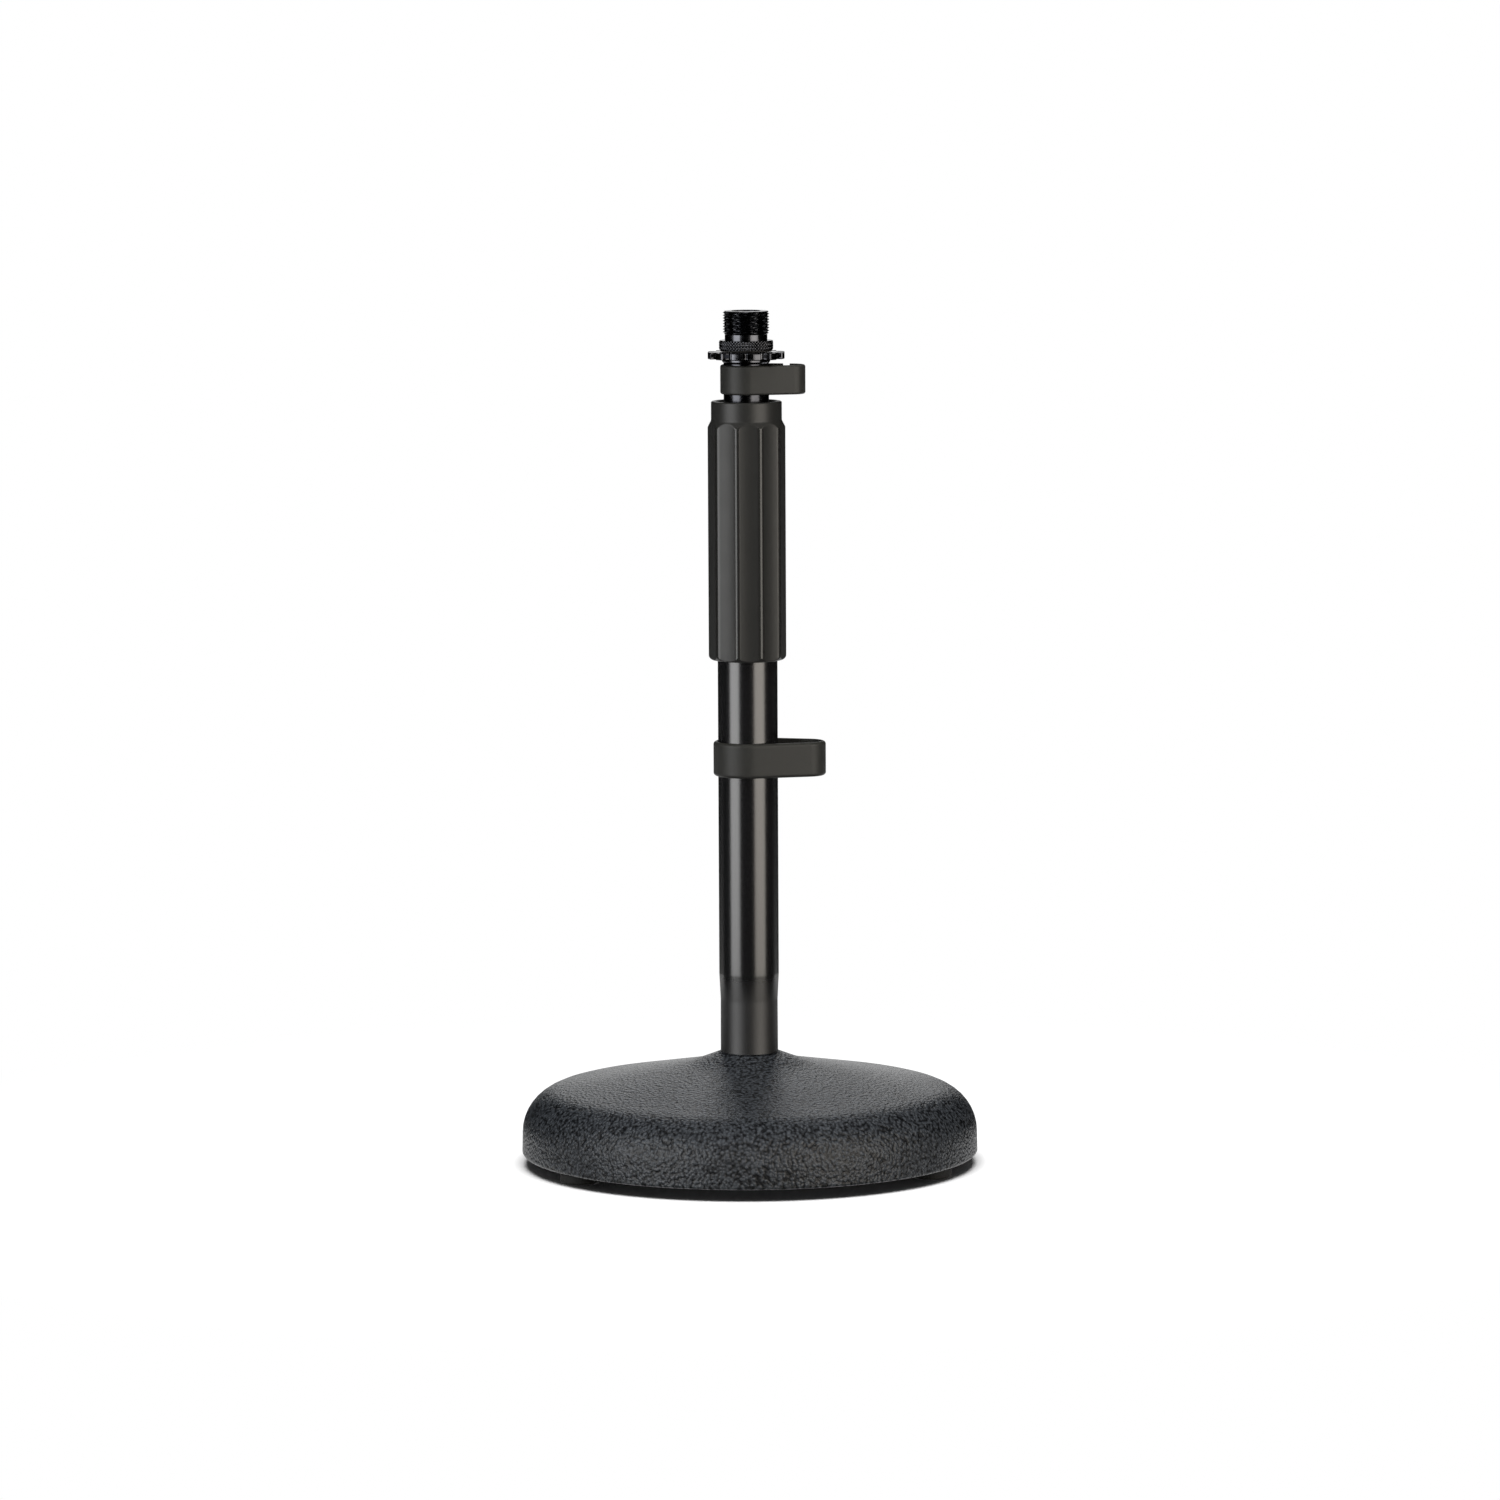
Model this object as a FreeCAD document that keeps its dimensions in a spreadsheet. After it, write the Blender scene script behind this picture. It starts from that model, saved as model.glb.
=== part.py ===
import FreeCAD, Part
import math
import os
import Sketcher
from FreeCAD import Vector

# Desktop microphone stand: a heavy round cast base, a fixed lower tube, a telescopic upper tube that a
# twist grip clamps, a 5/8 inch threaded adaptor with its lock ring, and two cable clips.
# Millimetres. The origin lies on the floor, on the column's axis. +Z is up and -Y is the front.

# Driving dimensions. Heights ending in _level are measured from the floor, and the rest are lengths,
# diameters, walls, clearances or angles in degrees.
SIZES = {
    # base casting, from the floor up
    "foot_thickness": 4.0,
    "base_dia": 156.5,
    "side_lean": 0.35,
    "shoulder_level": 24.2,
    "shoulder_round": 15.45,
    "boss_level": 38.5,
    "boss_land": 0.3,
    "flare_run": 9.4,
    "flare_drop": 3.6,
    "flare_round": 40.0,
    "socket_depth": 10.0,
    "socket_chamfer": 0.8,
    "web_thickness": 10.5,
    "rim_wall": 9.0,
    "dome_wall": 9.0,
    "cavity_draft": 1.6,
    "hub_dia": 40.0,
    "hub_drop": 18.5,
    "edge_round": 1.0,
    # rubber feet and their screws
    "foot_dia": 13.5,
    "foot_round": 0.8,
    "foot_inset": 9.25,
    "foot_bearing": -26.5,
    "foot_pad_dia": 15.2,
    "foot_pad_height": 11.0,
    "foot_web": 1.6,
    "foot_count": 3,
    "screw_dia": 4.0,
    "screw_length": 11.0,
    "screw_head_dia": 7.0,
    "screw_head_height": 1.9,
    "screw_head_gap": 0.4,
    # bolt that pulls the column down on the base
    "bolt_dia": 10.0,
    "bolt_hole_gap": 0.5,
    "bolt_reach": 28.0,
    "bolt_head_flats": 17.0,
    "bolt_head_height": 6.4,
    "washer_dia": 20.0,
    "washer_thickness": 2.0,
    "spring_washer_dia": 18.0,
    "spring_washer_thickness": 2.2,
    "spring_washer_slit": 1.6,
    "counterbore_gap": 1.5,
    # lower tube
    "lower_tube_dia": 20.45,
    "lower_tube_wall": 1.2,
    "lower_tube_length": 203.5,
    "swage_inset": 0.425,
    "swage_level": 57.0,
    "swage_run": 9.0,
    "insert_length": 20.0,
    # clutch that squeezes the upper tube
    "clutch_spigot": 20.0,
    "clutch_collar": 1.5,
    "clutch_thread_inset": 0.725,
    "clutch_thread_length": 16.5,
    "clutch_bore_gap": 0.2,
    "seat_depth": 12.0,
    "seat_taper": 0.65,
    "collet_wall": 0.26,
    "collet_proud": 1.5,
    "collet_slit": 1.2,
    "thrust_washer_thickness": 1.0,
    "nut_wall": 1.35,
    "nut_web": 2.5,
    "nut_gap": 0.5,
    # twist grip
    "grip_wall": 3.045,
    "grip_length": 88.35,
    "grip_top_level": 262.3,
    "collar_wall": 1.825,
    "collar_length": 6.5,
    "collar_flare": 2.5,
    "grip_flutes": 10,
    "flute_depth": 0.87,
    "flute_radius": 21.3,
    "flute_bearing": 21.4,
    "grip_end_round": 1.9,
    "grip_bore_gap": 0.3,
    "dish_lip": 1.55,
    "dish_depth": 1.8,
    # upper tube, its guide bush and its stud
    "upper_tube_dia": 15.5,
    "upper_tube_wall": 1.0,
    "upper_tube_length": 180.2,
    "upper_tube_top_level": 275.2,
    "bush_floor": 3.0,
    "bush_length": 22.0,
    "bush_air_hole_dia": 8.0,
    "stud_dia": 9.525,
    "stud_length": 14.9,
    "stud_chamfer": 0.8,
    "stud_plug_length": 12.2,
    "stud_shoulder_lip": 0.45,
    "stud_shoulder_height": 1.4,
    "stud_shoulder_cone": 0.6,
    # lock ring
    "ring_dia": 26.6,
    "ring_thickness": 2.35,
    "ring_gap": 0.1,
    "ring_prongs": 12,
    "ring_notch_dia": 3.6,
    "ring_notch_depth": 3.0,
    "ring_round": 0.45,
    "head_washer_gap": 0.25,
    # fibre washer and thread adaptor
    "head_washer_dia": 17.7,
    "head_washer_thickness": 0.4,
    "flange_dia": 18.5,
    "flange_thickness": 3.3,
    "neck_dia": 14.5,
    "neck_length": 2.0,
    "thread_dia": 15.85,
    "thread_length": 8.0,
    "thread_chamfer": 0.4,
    # cable clips
    "clip_gap": 0.08,
    "lower_clip_wall": 1.5,
    "lower_clip_height": 11.8,
    "lower_clip_level": 134.2,
    "lower_clip_end_dia": 14.0,
    "lower_clip_reach": 19.6,
    "lower_clip_slit_offset": 7.4,
    "upper_clip_wall": 1.02,
    "upper_clip_height": 10.0,
    "upper_clip_level": 264.7,
    "upper_clip_end_dia": 10.6,
    "upper_clip_reach": 14.8,
    "upper_clip_slit_offset": 12.4,
    "clip_slit_width": 2.4,
    "clip_round": 0.45,
    # fits
    "press_gap": 0.02,
    "running_gap": 0.05,
    "bush_gap": 0.06,
    "socket_gap": 0.1,
}


class Size:
    """A length held twice: as a number, and as the sheet formula that gives it."""

    def __init__(self, number, formula):
        self.number = number
        self.formula = formula

    def __add__(self, other):
        return Size(self.number + other.number, f"({self.formula} + {other.formula})")

    def __sub__(self, other):
        return Size(self.number - other.number, f"({self.formula} - {other.formula})")

    def __mul__(self, other):
        return Size(self.number * other.number, f"({self.formula} * {other.formula})")

    def __truediv__(self, other):
        return Size(self.number / other.number, f"({self.formula} / {other.formula})")


def plain(number):
    """A pure number as a Size."""
    return Size(float(number), repr(float(number)))


def cosine(angle):
    return Size(math.cos(math.radians(angle.number)), f"cos({angle.formula} * 1 deg)")


def sine(angle):
    return Size(math.sin(math.radians(angle.number)), f"sin({angle.formula} * 1 deg)")


NIL = plain(0)
TWO = plain(2)


def make_sheet(document):
    """The sheet of driving dimensions: a name in column A, and its number with an alias in column B."""
    sheet = document.addObject("Spreadsheet::Sheet", "Sizes")
    for row, (name, number) in enumerate(SIZES.items(), 1):
        sheet.set(f"A{row}", name)
        sheet.set(f"B{row}", str(number))
        sheet.setAlias(f"B{row}", name)
    document.recompute()
    return sheet


doc = FreeCAD.newDocument("MicrophoneStand")
sizes = make_sheet(doc)
parts = []


def size(name):
    """A driving dimension, read from the sheet."""
    return Size(float(sizes.get(name)), f"Sizes.{name}")


def half(name):
    return size(name) / TWO


# ---- helpers: sketches and features ----------------------------------------------------------------


def new_body(label):
    body = doc.addObject("PartDesign::Body", label)
    body.Label = label
    parts.append(body)
    return body


def new_sketch(body, name, plane, level=None):
    """A sketch on one of the body's own origin planes, lifted to a level along the plane's normal."""
    sketch = body.newObject("Sketcher::SketchObject", name)
    support = next(item for item in body.Origin.OriginFeatures if item.Role == plane)
    sketch.AttachmentSupport = (support, [""])
    sketch.MapMode = "FlatFace"
    if level is not None:
        sketch.setExpression("AttachmentOffset.Base.z", level.formula)
    return sketch


def drive(sketch, constraint, formula):
    """Add a constraint whose value follows a sheet formula."""
    row = sketch.addConstraint(constraint)
    sketch.setExpression(f"Constraints[{row}]", formula)


def hold_point(sketch, geometry, end, across, up):
    """Fix a point of a sketch by its distances from the sketch's origin."""
    for kind, distance, axis in (("DistanceX", across, -2), ("DistanceY", up, -1)):
        if abs(distance.number) < 1e-9:
            sketch.addConstraint(Sketcher.Constraint("PointOnObject", geometry, end, axis))
        else:
            held = Sketcher.Constraint(kind, -1, 1, geometry, end, distance.number)
            drive(sketch, held, distance.formula)


def draw_polygon(sketch, corners):
    """A closed outline of straight lines through the corners."""
    points = [Vector(across.number, up.number, 0) for across, up in corners]
    count = len(points)
    for start, end in zip(points, points[1:] + points[:1]):
        sketch.addGeometry(Part.LineSegment(start, end), False)
    for line in range(count):
        joined = Sketcher.Constraint("Coincident", line, 2, (line + 1) % count, 1)
        sketch.addConstraint(joined)
    for line, (across, up) in enumerate(corners):
        hold_point(sketch, line, 1, across, up)


def draw_circle(sketch, across, up, radius):
    centre = Vector(across.number, up.number, 0)
    circle = sketch.addGeometry(Part.Circle(centre, Vector(0, 0, 1), radius.number), False)
    hold_point(sketch, circle, 3, across, up)
    drive(sketch, Sketcher.Constraint("Radius", circle, radius.number), radius.formula)


def draw_belt(sketch, big, small, reach):
    """Two arcs and the two lines that touch both, as a belt lies on two pulleys."""
    lean = math.acos((big.number - small.number) / reach.number)
    up = Vector(0, 0, 1)
    far = Vector(reach.number, 0, 0)
    near_circle = Part.Circle(Vector(0, 0, 0), up, big.number)
    far_circle = Part.Circle(far, up, small.number)
    near_arc = Part.ArcOfCircle(near_circle, lean, 2 * math.pi - lean)
    far_arc = Part.ArcOfCircle(far_circle, -lean, lean)
    front = Part.LineSegment(near_arc.EndPoint, far_arc.StartPoint)
    back = Part.LineSegment(far_arc.EndPoint, near_arc.StartPoint)
    sketch.addGeometry([near_arc, front, far_arc, back], False)
    sketch.addConstraint(Sketcher.Constraint("Coincident", 0, 3, -1, 1))
    for first in range(4):
        sketch.addConstraint(Sketcher.Constraint("Tangent", first, 2, (first + 1) % 4, 1))
    sketch.addConstraint(Sketcher.Constraint("PointOnObject", 2, 3, -1))
    drive(sketch, Sketcher.Constraint("DistanceX", -1, 1, 2, 3, reach.number), reach.formula)
    drive(sketch, Sketcher.Constraint("Radius", 0, big.number), big.formula)
    drive(sketch, Sketcher.Constraint("Radius", 2, small.number), small.formula)


def add_extrusion(body, kind, name, sketch, length, reverse=False):
    """A Pad or a Pocket of the sketch. A Pocket cuts down from its sketch unless it is reversed."""
    feature = body.newObject(f"PartDesign::{kind}", name)
    feature.Profile = sketch
    feature.setExpression("Length", length.formula)
    feature.Reversed = reverse
    doc.recompute()
    return feature


def add_pattern(body, name, features, axis_sketch, count):
    """Repeat features around the body's axis."""
    pattern = body.newObject("PartDesign::PolarPattern", name)
    pattern.Originals = features
    pattern.Axis = (axis_sketch, ["N_Axis"])
    pattern.Angle = 360
    pattern.setExpression("Occurrences", count.formula)
    body.Tip = pattern
    doc.recompute()
    return pattern


def ring_edges(shape, across, up):
    """The names of the round edges of a given radius at a given height."""
    names = []
    for number, edge in enumerate(shape.Edges, 1):
        curve = edge.Curve
        if not isinstance(curve, Part.Circle):
            continue
        if abs(curve.Radius - across.number) < 1e-6 and abs(curve.Center.z - up.number) < 1e-6:
            names.append(f"Edge{number}")
    return names


def level_edges(shape, level):
    """The names of the edges that lie flat at a height."""
    names = []
    for number, edge in enumerate(shape.Edges, 1):
        box = edge.BoundBox
        if max(abs(box.ZMin - level.number), abs(box.ZMax - level.number)) < 1e-4:
            names.append(f"Edge{number}")
    return names


def add_fillet(body, name, edges, radius):
    base = body.Tip
    fillet = body.newObject("PartDesign::Fillet", name)
    fillet.Base = (base, edges)
    fillet.setExpression("Radius", radius.formula)
    body.Tip = fillet
    doc.recompute()


def turned(label, corners, rounds=()):
    """A body turned about its Z axis from corners (radius, height), with some corners rounded."""
    body = new_body(label)
    sketch = new_sketch(body, f"{label}_outline", "XZ_Plane")
    draw_polygon(sketch, corners)
    turn = body.newObject("PartDesign::Revolution", f"{label}_turn")
    turn.Profile = sketch
    turn.ReferenceAxis = (sketch, ["V_Axis"])
    turn.Angle = 360
    body.Tip = turn
    doc.recompute()
    for number, (corner, radius) in enumerate(rounds, 1):
        edges = ring_edges(body.Tip.Shape, *corner)
        add_fillet(body, f"{label}_round_{number}", edges, radius)
    return body


def add_slit(body, label, start, end, width, level, depth):
    """Cut a straight slit along +X from one radius to another, down from a level."""
    sketch = new_sketch(body, f"{label}_slit_outline", "XY_Plane", level)
    side = width / TWO
    low = NIL - side
    draw_polygon(sketch, [(start, low), (end, low), (end, side), (start, side)])
    add_extrusion(body, "Pocket", f"{label}_slit", sketch, depth)


# ---- levels and radii shared between pieces --------------------------------------------------------

base_radius = half("base_dia")
socket_level = size("boss_level") - size("socket_depth")
bearing_level = socket_level - size("web_thickness")
foot_ring = base_radius - size("foot_inset")
lower_radius = half("lower_tube_dia")
swage_radius = lower_radius - size("swage_inset")
swage_bore = swage_radius - size("lower_tube_wall")
lower_bore = lower_radius - size("lower_tube_wall")
lower_top = socket_level + size("lower_tube_length")
upper_radius = half("upper_tube_dia")
upper_bore = upper_radius - size("upper_tube_wall")
upper_top = size("upper_tube_top_level")
upper_bottom = upper_top - size("upper_tube_length")
bolt_radius = half("bolt_dia")
screw_radius = half("screw_dia")
stud_radius = half("stud_dia")
stud_bore = stud_radius + size("running_gap")
bore_radius = upper_radius + size("clutch_bore_gap")
clutch_thread = lower_radius - size("clutch_thread_inset")
collar_level = lower_top + size("clutch_collar")
clutch_top = collar_level + size("clutch_thread_length")
seat_level = clutch_top - size("seat_depth")
collet_bore = upper_radius + size("running_gap")
collet_radius = collet_bore + size("collet_wall")
collet_top = clutch_top + size("collet_proud")
thrust_top = collet_top + size("thrust_washer_thickness")
nut_bottom = collar_level + size("nut_gap")
nut_bore = clutch_thread + size("running_gap")
nut_radius = nut_bore + size("nut_wall")
nut_top = thrust_top + size("nut_web")
grip_radius = lower_radius + size("grip_wall")
collar_radius = lower_radius + size("collar_wall")
shoulder_top = upper_top + size("stud_shoulder_height")
ring_bottom = shoulder_top + size("ring_gap")
ring_top = ring_bottom + size("ring_thickness")
head_washer_bottom = ring_top + size("head_washer_gap")
flange_bottom = head_washer_bottom + size("head_washer_thickness")


# ---- base ------------------------------------------------------------------------------------------


def make_base_casting():
    """Domed casting with a hollow underside, a column socket on top and three foot pads below."""
    rim = size("foot_thickness")
    shoulder = (base_radius - size("side_lean"), size("shoulder_level"))
    boss_top = size("boss_level")
    chamfer = size("socket_chamfer")
    socket = swage_radius + size("socket_gap")
    boss = socket + chamfer + size("boss_land")
    flare = (boss + size("flare_run"), boss_top - size("flare_drop"))
    slope = (flare[1] - shoulder[1]) / (shoulder[0] - flare[0])
    cavity_low = (base_radius - size("rim_wall"), rim)
    cavity_high = cavity_low[0] - size("cavity_draft")
    roof_high = shoulder[1] + slope * (shoulder[0] - cavity_high) - size("dome_wall")
    hub = half("hub_dia")
    roof_low = flare[1] - slope * (hub - flare[0]) - size("dome_wall")
    hub_level = socket_level - size("hub_drop")
    counterbore = half("washer_dia") + size("counterbore_gap")
    bolt_hole = bolt_radius + size("bolt_hole_gap")
    corners = [
        (bolt_hole, socket_level),
        (socket, socket_level),
        (socket, boss_top - chamfer),
        (socket + chamfer, boss_top),
        (boss, boss_top),
        flare,
        shoulder,
        (base_radius, rim),
        cavity_low,
        (cavity_high, roof_high),
        (hub, roof_low),
        (hub, hub_level),
        (counterbore, hub_level),
        (counterbore, bearing_level),
        (bolt_hole, bearing_level),
    ]
    rounds = [
        (shoulder, size("shoulder_round")),
        (flare, size("flare_round")),
        ((base_radius, rim), size("edge_round")),
    ]
    body = turned("base_casting", corners, rounds)
    across = foot_ring * cosine(size("foot_bearing"))
    along = foot_ring * sine(size("foot_bearing"))
    pad_sketch = new_sketch(body, "foot_pad_outline", "XY_Plane", rim)
    draw_circle(pad_sketch, across, along, half("foot_pad_dia"))
    pad = add_extrusion(body, "Pad", "foot_pad", pad_sketch, size("foot_pad_height"))
    add_pattern(body, "foot_pads", [pad], pad_sketch, size("foot_count"))
    hole_sketch = new_sketch(body, "screw_hole_outline", "XY_Plane", rim)
    draw_circle(hole_sketch, across, along, screw_radius + size("press_gap"))
    depth = size("screw_length") - size("foot_web")
    hole = add_extrusion(body, "Pocket", "screw_hole", hole_sketch, depth, reverse=True)
    add_pattern(body, "screw_holes", [hole], hole_sketch, size("foot_count"))


def place_at_foot(item, number, level):
    """Stand an object on the ring of feet, at the bearing of one foot."""
    turn = plain(number) * plain(360) / size("foot_count")
    bearing = size("foot_bearing") + turn
    item.setExpression("Placement.Base.x", (foot_ring * cosine(bearing)).formula)
    item.setExpression("Placement.Base.y", (foot_ring * sine(bearing)).formula)
    item.setExpression("Placement.Base.z", level.formula)


def make_rubber_foot(number):
    """Rubber disc with a counterbore that keeps the screw's head off the floor."""
    web_level = size("foot_thickness") - size("foot_web")
    hole = screw_radius + size("running_gap")
    counterbore = half("screw_head_dia") + size("screw_head_gap")
    rim = (half("foot_dia"), NIL)
    corners = [
        (counterbore, NIL),
        rim,
        (half("foot_dia"), size("foot_thickness")),
        (hole, size("foot_thickness")),
        (hole, web_level),
        (counterbore, web_level),
    ]
    body = turned(f"rubber_foot_{number + 1}", corners, [(rim, size("foot_round"))])
    place_at_foot(body, number, NIL)


def make_foot_screws():
    """Three pan-head screws, one under each foot, as one group of solids."""
    web_level = size("foot_thickness") - size("foot_web")
    screws = []
    for number in range(int(size("foot_count").number)):
        head = doc.addObject("Part::Cylinder", f"screw_head_{number + 1}")
        head.setExpression("Radius", half("screw_head_dia").formula)
        head.setExpression("Height", size("screw_head_height").formula)
        place_at_foot(head, number, web_level - size("screw_head_height"))
        shank = doc.addObject("Part::Cylinder", f"screw_shank_{number + 1}")
        shank.setExpression("Radius", screw_radius.formula)
        shank.setExpression("Height", size("screw_length").formula)
        place_at_foot(shank, number, web_level)
        screw = doc.addObject("Part::Fuse", f"screw_{number + 1}")
        screw.Base = head
        screw.Tool = shank
        screws.append(screw)
    group = doc.addObject("Part::Compound", "foot_screws")
    group.Links = screws
    parts.append(group)


def make_bolt_and_washers():
    """Hex bolt from below, with a flat washer and a split spring washer under its head."""
    hole = bolt_radius + size("bolt_hole_gap")
    flat_low = bearing_level - size("washer_thickness")
    spring_low = flat_low - size("spring_washer_thickness")
    head_low = spring_low - size("bolt_head_height")
    washer_radius = half("washer_dia")
    spring_radius = half("spring_washer_dia")
    turned("flat_washer", [
        (hole, flat_low),
        (washer_radius, flat_low),
        (washer_radius, bearing_level),
        (hole, bearing_level),
    ])
    spring = turned("spring_washer", [
        (hole, spring_low),
        (spring_radius, spring_low),
        (spring_radius, flat_low),
        (hole, flat_low),
    ])
    thickness = size("spring_washer_thickness")
    add_slit(spring, "spring", NIL, spring_radius, size("spring_washer_slit"), flat_low, thickness)
    body = new_body("base_bolt")
    head_sketch = new_sketch(body, "bolt_head_outline", "XY_Plane", head_low)
    corner_radius = half("bolt_head_flats") / cosine(plain(30))
    bearings = [plain(60 * side) for side in range(6)]
    draw_polygon(head_sketch, [(corner_radius * cosine(b), corner_radius * sine(b)) for b in bearings])
    add_extrusion(body, "Pad", "bolt_head", head_sketch, size("bolt_head_height"))
    shank_sketch = new_sketch(body, "bolt_shank_outline", "XY_Plane", spring_low)
    draw_circle(shank_sketch, NIL, NIL, bolt_radius)
    shank_length = size("bolt_reach") + size("washer_thickness") + size("spring_washer_thickness")
    add_extrusion(body, "Pad", "bolt_shank", shank_sketch, shank_length)


# ---- column ----------------------------------------------------------------------------------------


def make_lower_tube():
    """Fixed tube, swaged down at its foot to enter the base."""
    swage_top = size("swage_level") + size("swage_run")
    turned("lower_tube", [
        (swage_bore, socket_level),
        (swage_radius, socket_level),
        (swage_radius, size("swage_level")),
        (lower_radius, swage_top),
        (lower_radius, lower_top),
        (lower_bore, lower_top),
        (lower_bore, swage_top),
        (swage_bore, size("swage_level")),
    ])


def make_column_insert():
    """Threaded plug fixed in the swaged end, which the base bolt pulls on."""
    top = socket_level + size("insert_length")
    outer = swage_bore - size("press_gap")
    hole = bolt_radius + size("running_gap")
    turned("column_insert", [
        (hole, socket_level),
        (outer, socket_level),
        (outer, top),
        (hole, top),
    ])


def make_clutch_body():
    """Steel collar fixed in the lower tube's mouth, threaded outside and coned inside."""
    spigot = lower_bore - size("press_gap")
    spigot_level = lower_top - size("clutch_spigot")
    seat_low = collet_radius + size("running_gap")
    seat_high = seat_low + size("seat_taper")
    turned("clutch_body", [
        (bore_radius, spigot_level),
        (spigot, spigot_level),
        (spigot, lower_top),
        (lower_radius, lower_top),
        (lower_radius, collar_level),
        (clutch_thread, collar_level),
        (clutch_thread, clutch_top),
        (seat_high, clutch_top),
        (seat_low, seat_level),
        (bore_radius, seat_level),
    ])


def make_collet():
    """Split nylon cone between the seat and the upper tube."""
    bottom = seat_level + size("ring_gap")
    rise = size("seat_taper") * (clutch_top - bottom) / size("seat_depth")
    low_radius = collet_radius + size("seat_taper") - rise
    high_radius = collet_radius + size("seat_taper")
    body = turned("collet", [
        (collet_bore, bottom),
        (low_radius, bottom),
        (high_radius, clutch_top),
        (high_radius, collet_top),
        (collet_bore, collet_top),
    ])
    length = collet_top - bottom
    add_slit(body, "collet", upper_radius, nut_radius, size("collet_slit"), collet_top, length)


def make_thrust_washer():
    """Ring that carries the nut's push to the collet."""
    turned("thrust_washer", [
        (bore_radius, collet_top),
        (clutch_thread, collet_top),
        (clutch_thread, thrust_top),
        (bore_radius, thrust_top),
    ])


def make_clutch_nut():
    """Threaded sleeve moulded into the grip, which climbs and sinks on the clutch body."""
    turned("clutch_nut", [
        (nut_bore, nut_bottom),
        (nut_radius, nut_bottom),
        (nut_radius, nut_top),
        (bore_radius, nut_top),
        (bore_radius, thrust_top),
        (nut_bore, thrust_top),
    ])


def make_grip_sleeve():
    """Moulded twist grip: a smooth collar above ten long flutes with narrow lands between them."""
    top = size("grip_top_level")
    bottom = top - size("grip_length")
    collar_bottom = top - size("collar_length")
    flare_bottom = collar_bottom - size("collar_flare")
    tube_hole = lower_radius + size("grip_bore_gap")
    mast_hole = upper_radius + size("grip_bore_gap")
    pocket = nut_radius + size("press_gap")
    edge = (grip_radius, bottom)
    body = turned("grip_sleeve", [
        (tube_hole, bottom),
        edge,
        (grip_radius, flare_bottom),
        (collar_radius, collar_bottom),
        (collar_radius, top),
        (collar_radius - size("dish_lip"), top),
        (mast_hole, top - size("dish_depth")),
        (mast_hole, nut_top),
        (pocket, nut_top),
        (pocket, nut_bottom),
        (tube_hole, nut_bottom),
    ], [(edge, size("grip_end_round"))])
    sketch = new_sketch(body, "flute_outline", "XY_Plane", collar_bottom)
    reach = grip_radius - size("flute_depth") + size("flute_radius")
    bearing = size("flute_bearing")
    draw_circle(sketch, reach * cosine(bearing), reach * sine(bearing), size("flute_radius"))
    flute = add_extrusion(body, "Pocket", "flute", sketch, size("grip_length"))
    add_pattern(body, "flutes", [flute], sketch, size("grip_flutes"))


def make_guide_bush():
    """Nylon cup on the upper tube's lower end, which runs in the lower tube and turns freely."""
    floor = upper_bottom - size("bush_floor")
    outer = lower_bore - size("bush_gap")
    inner = upper_radius + size("running_gap")
    hole = half("bush_air_hole_dia")
    top = upper_bottom + size("bush_length")
    turned("guide_bush", [
        (hole, floor),
        (outer, floor),
        (outer, top),
        (inner, top),
        (inner, upper_bottom),
        (hole, upper_bottom),
    ])


def make_upper_tube():
    turned("upper_tube", [
        (upper_bore, upper_bottom),
        (upper_radius, upper_bottom),
        (upper_radius, upper_top),
        (upper_bore, upper_top),
    ])


def make_top_stud():
    """Plug fixed in the upper tube's top, with a shoulder and a 3/8 inch stud."""
    plug = upper_bore - size("press_gap")
    plug_bottom = upper_top - size("stud_plug_length")
    shoulder = upper_radius + size("stud_shoulder_lip")
    stud_top = shoulder_top + size("stud_length")
    tip = stud_radius - size("stud_chamfer")
    turned("top_stud", [
        (NIL, plug_bottom),
        (plug, plug_bottom),
        (plug, upper_top),
        (upper_radius, upper_top),
        (shoulder, upper_top + size("stud_shoulder_cone")),
        (shoulder, shoulder_top),
        (stud_radius, shoulder_top),
        (stud_radius, stud_top - size("stud_chamfer")),
        (tip, stud_top),
        (NIL, stud_top),
    ])


# ---- head ------------------------------------------------------------------------------------------


def make_lock_ring():
    """Toothed ring that jams against the adaptor: a disc with a round notch between its prongs."""
    body = new_body("lock_ring")
    sketch = new_sketch(body, "ring_outline", "XY_Plane", ring_bottom)
    draw_circle(sketch, NIL, NIL, half("ring_dia"))
    draw_circle(sketch, NIL, NIL, stud_bore)
    add_extrusion(body, "Pad", "ring_disc", sketch, size("ring_thickness"))
    notch_sketch = new_sketch(body, "notch_outline", "XY_Plane", ring_top)
    notch_place = half("ring_dia") - size("ring_notch_depth") + half("ring_notch_dia")
    draw_circle(notch_sketch, notch_place, NIL, half("ring_notch_dia"))
    notch = add_extrusion(body, "Pocket", "notch", notch_sketch, size("ring_thickness"))
    add_pattern(body, "notches", [notch], notch_sketch, size("ring_prongs"))
    rims = [
        f"Edge{number}"
        for number, edge in enumerate(body.Tip.Shape.Edges, 1)
        if isinstance(edge.Curve, Part.Circle)
        and abs(edge.Curve.Radius - half("ring_dia").number) < 1e-6
    ]
    add_fillet(body, "ring_rounds", rims, size("ring_round"))


def make_head_washer():
    """Thin fibre washer that rises with the adaptor's flange while the adaptor turns on it."""
    outer = half("head_washer_dia")
    turned("head_washer", [
        (stud_bore, head_washer_bottom),
        (outer, head_washer_bottom),
        (outer, flange_bottom),
        (stud_bore, flange_bottom),
    ])


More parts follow.
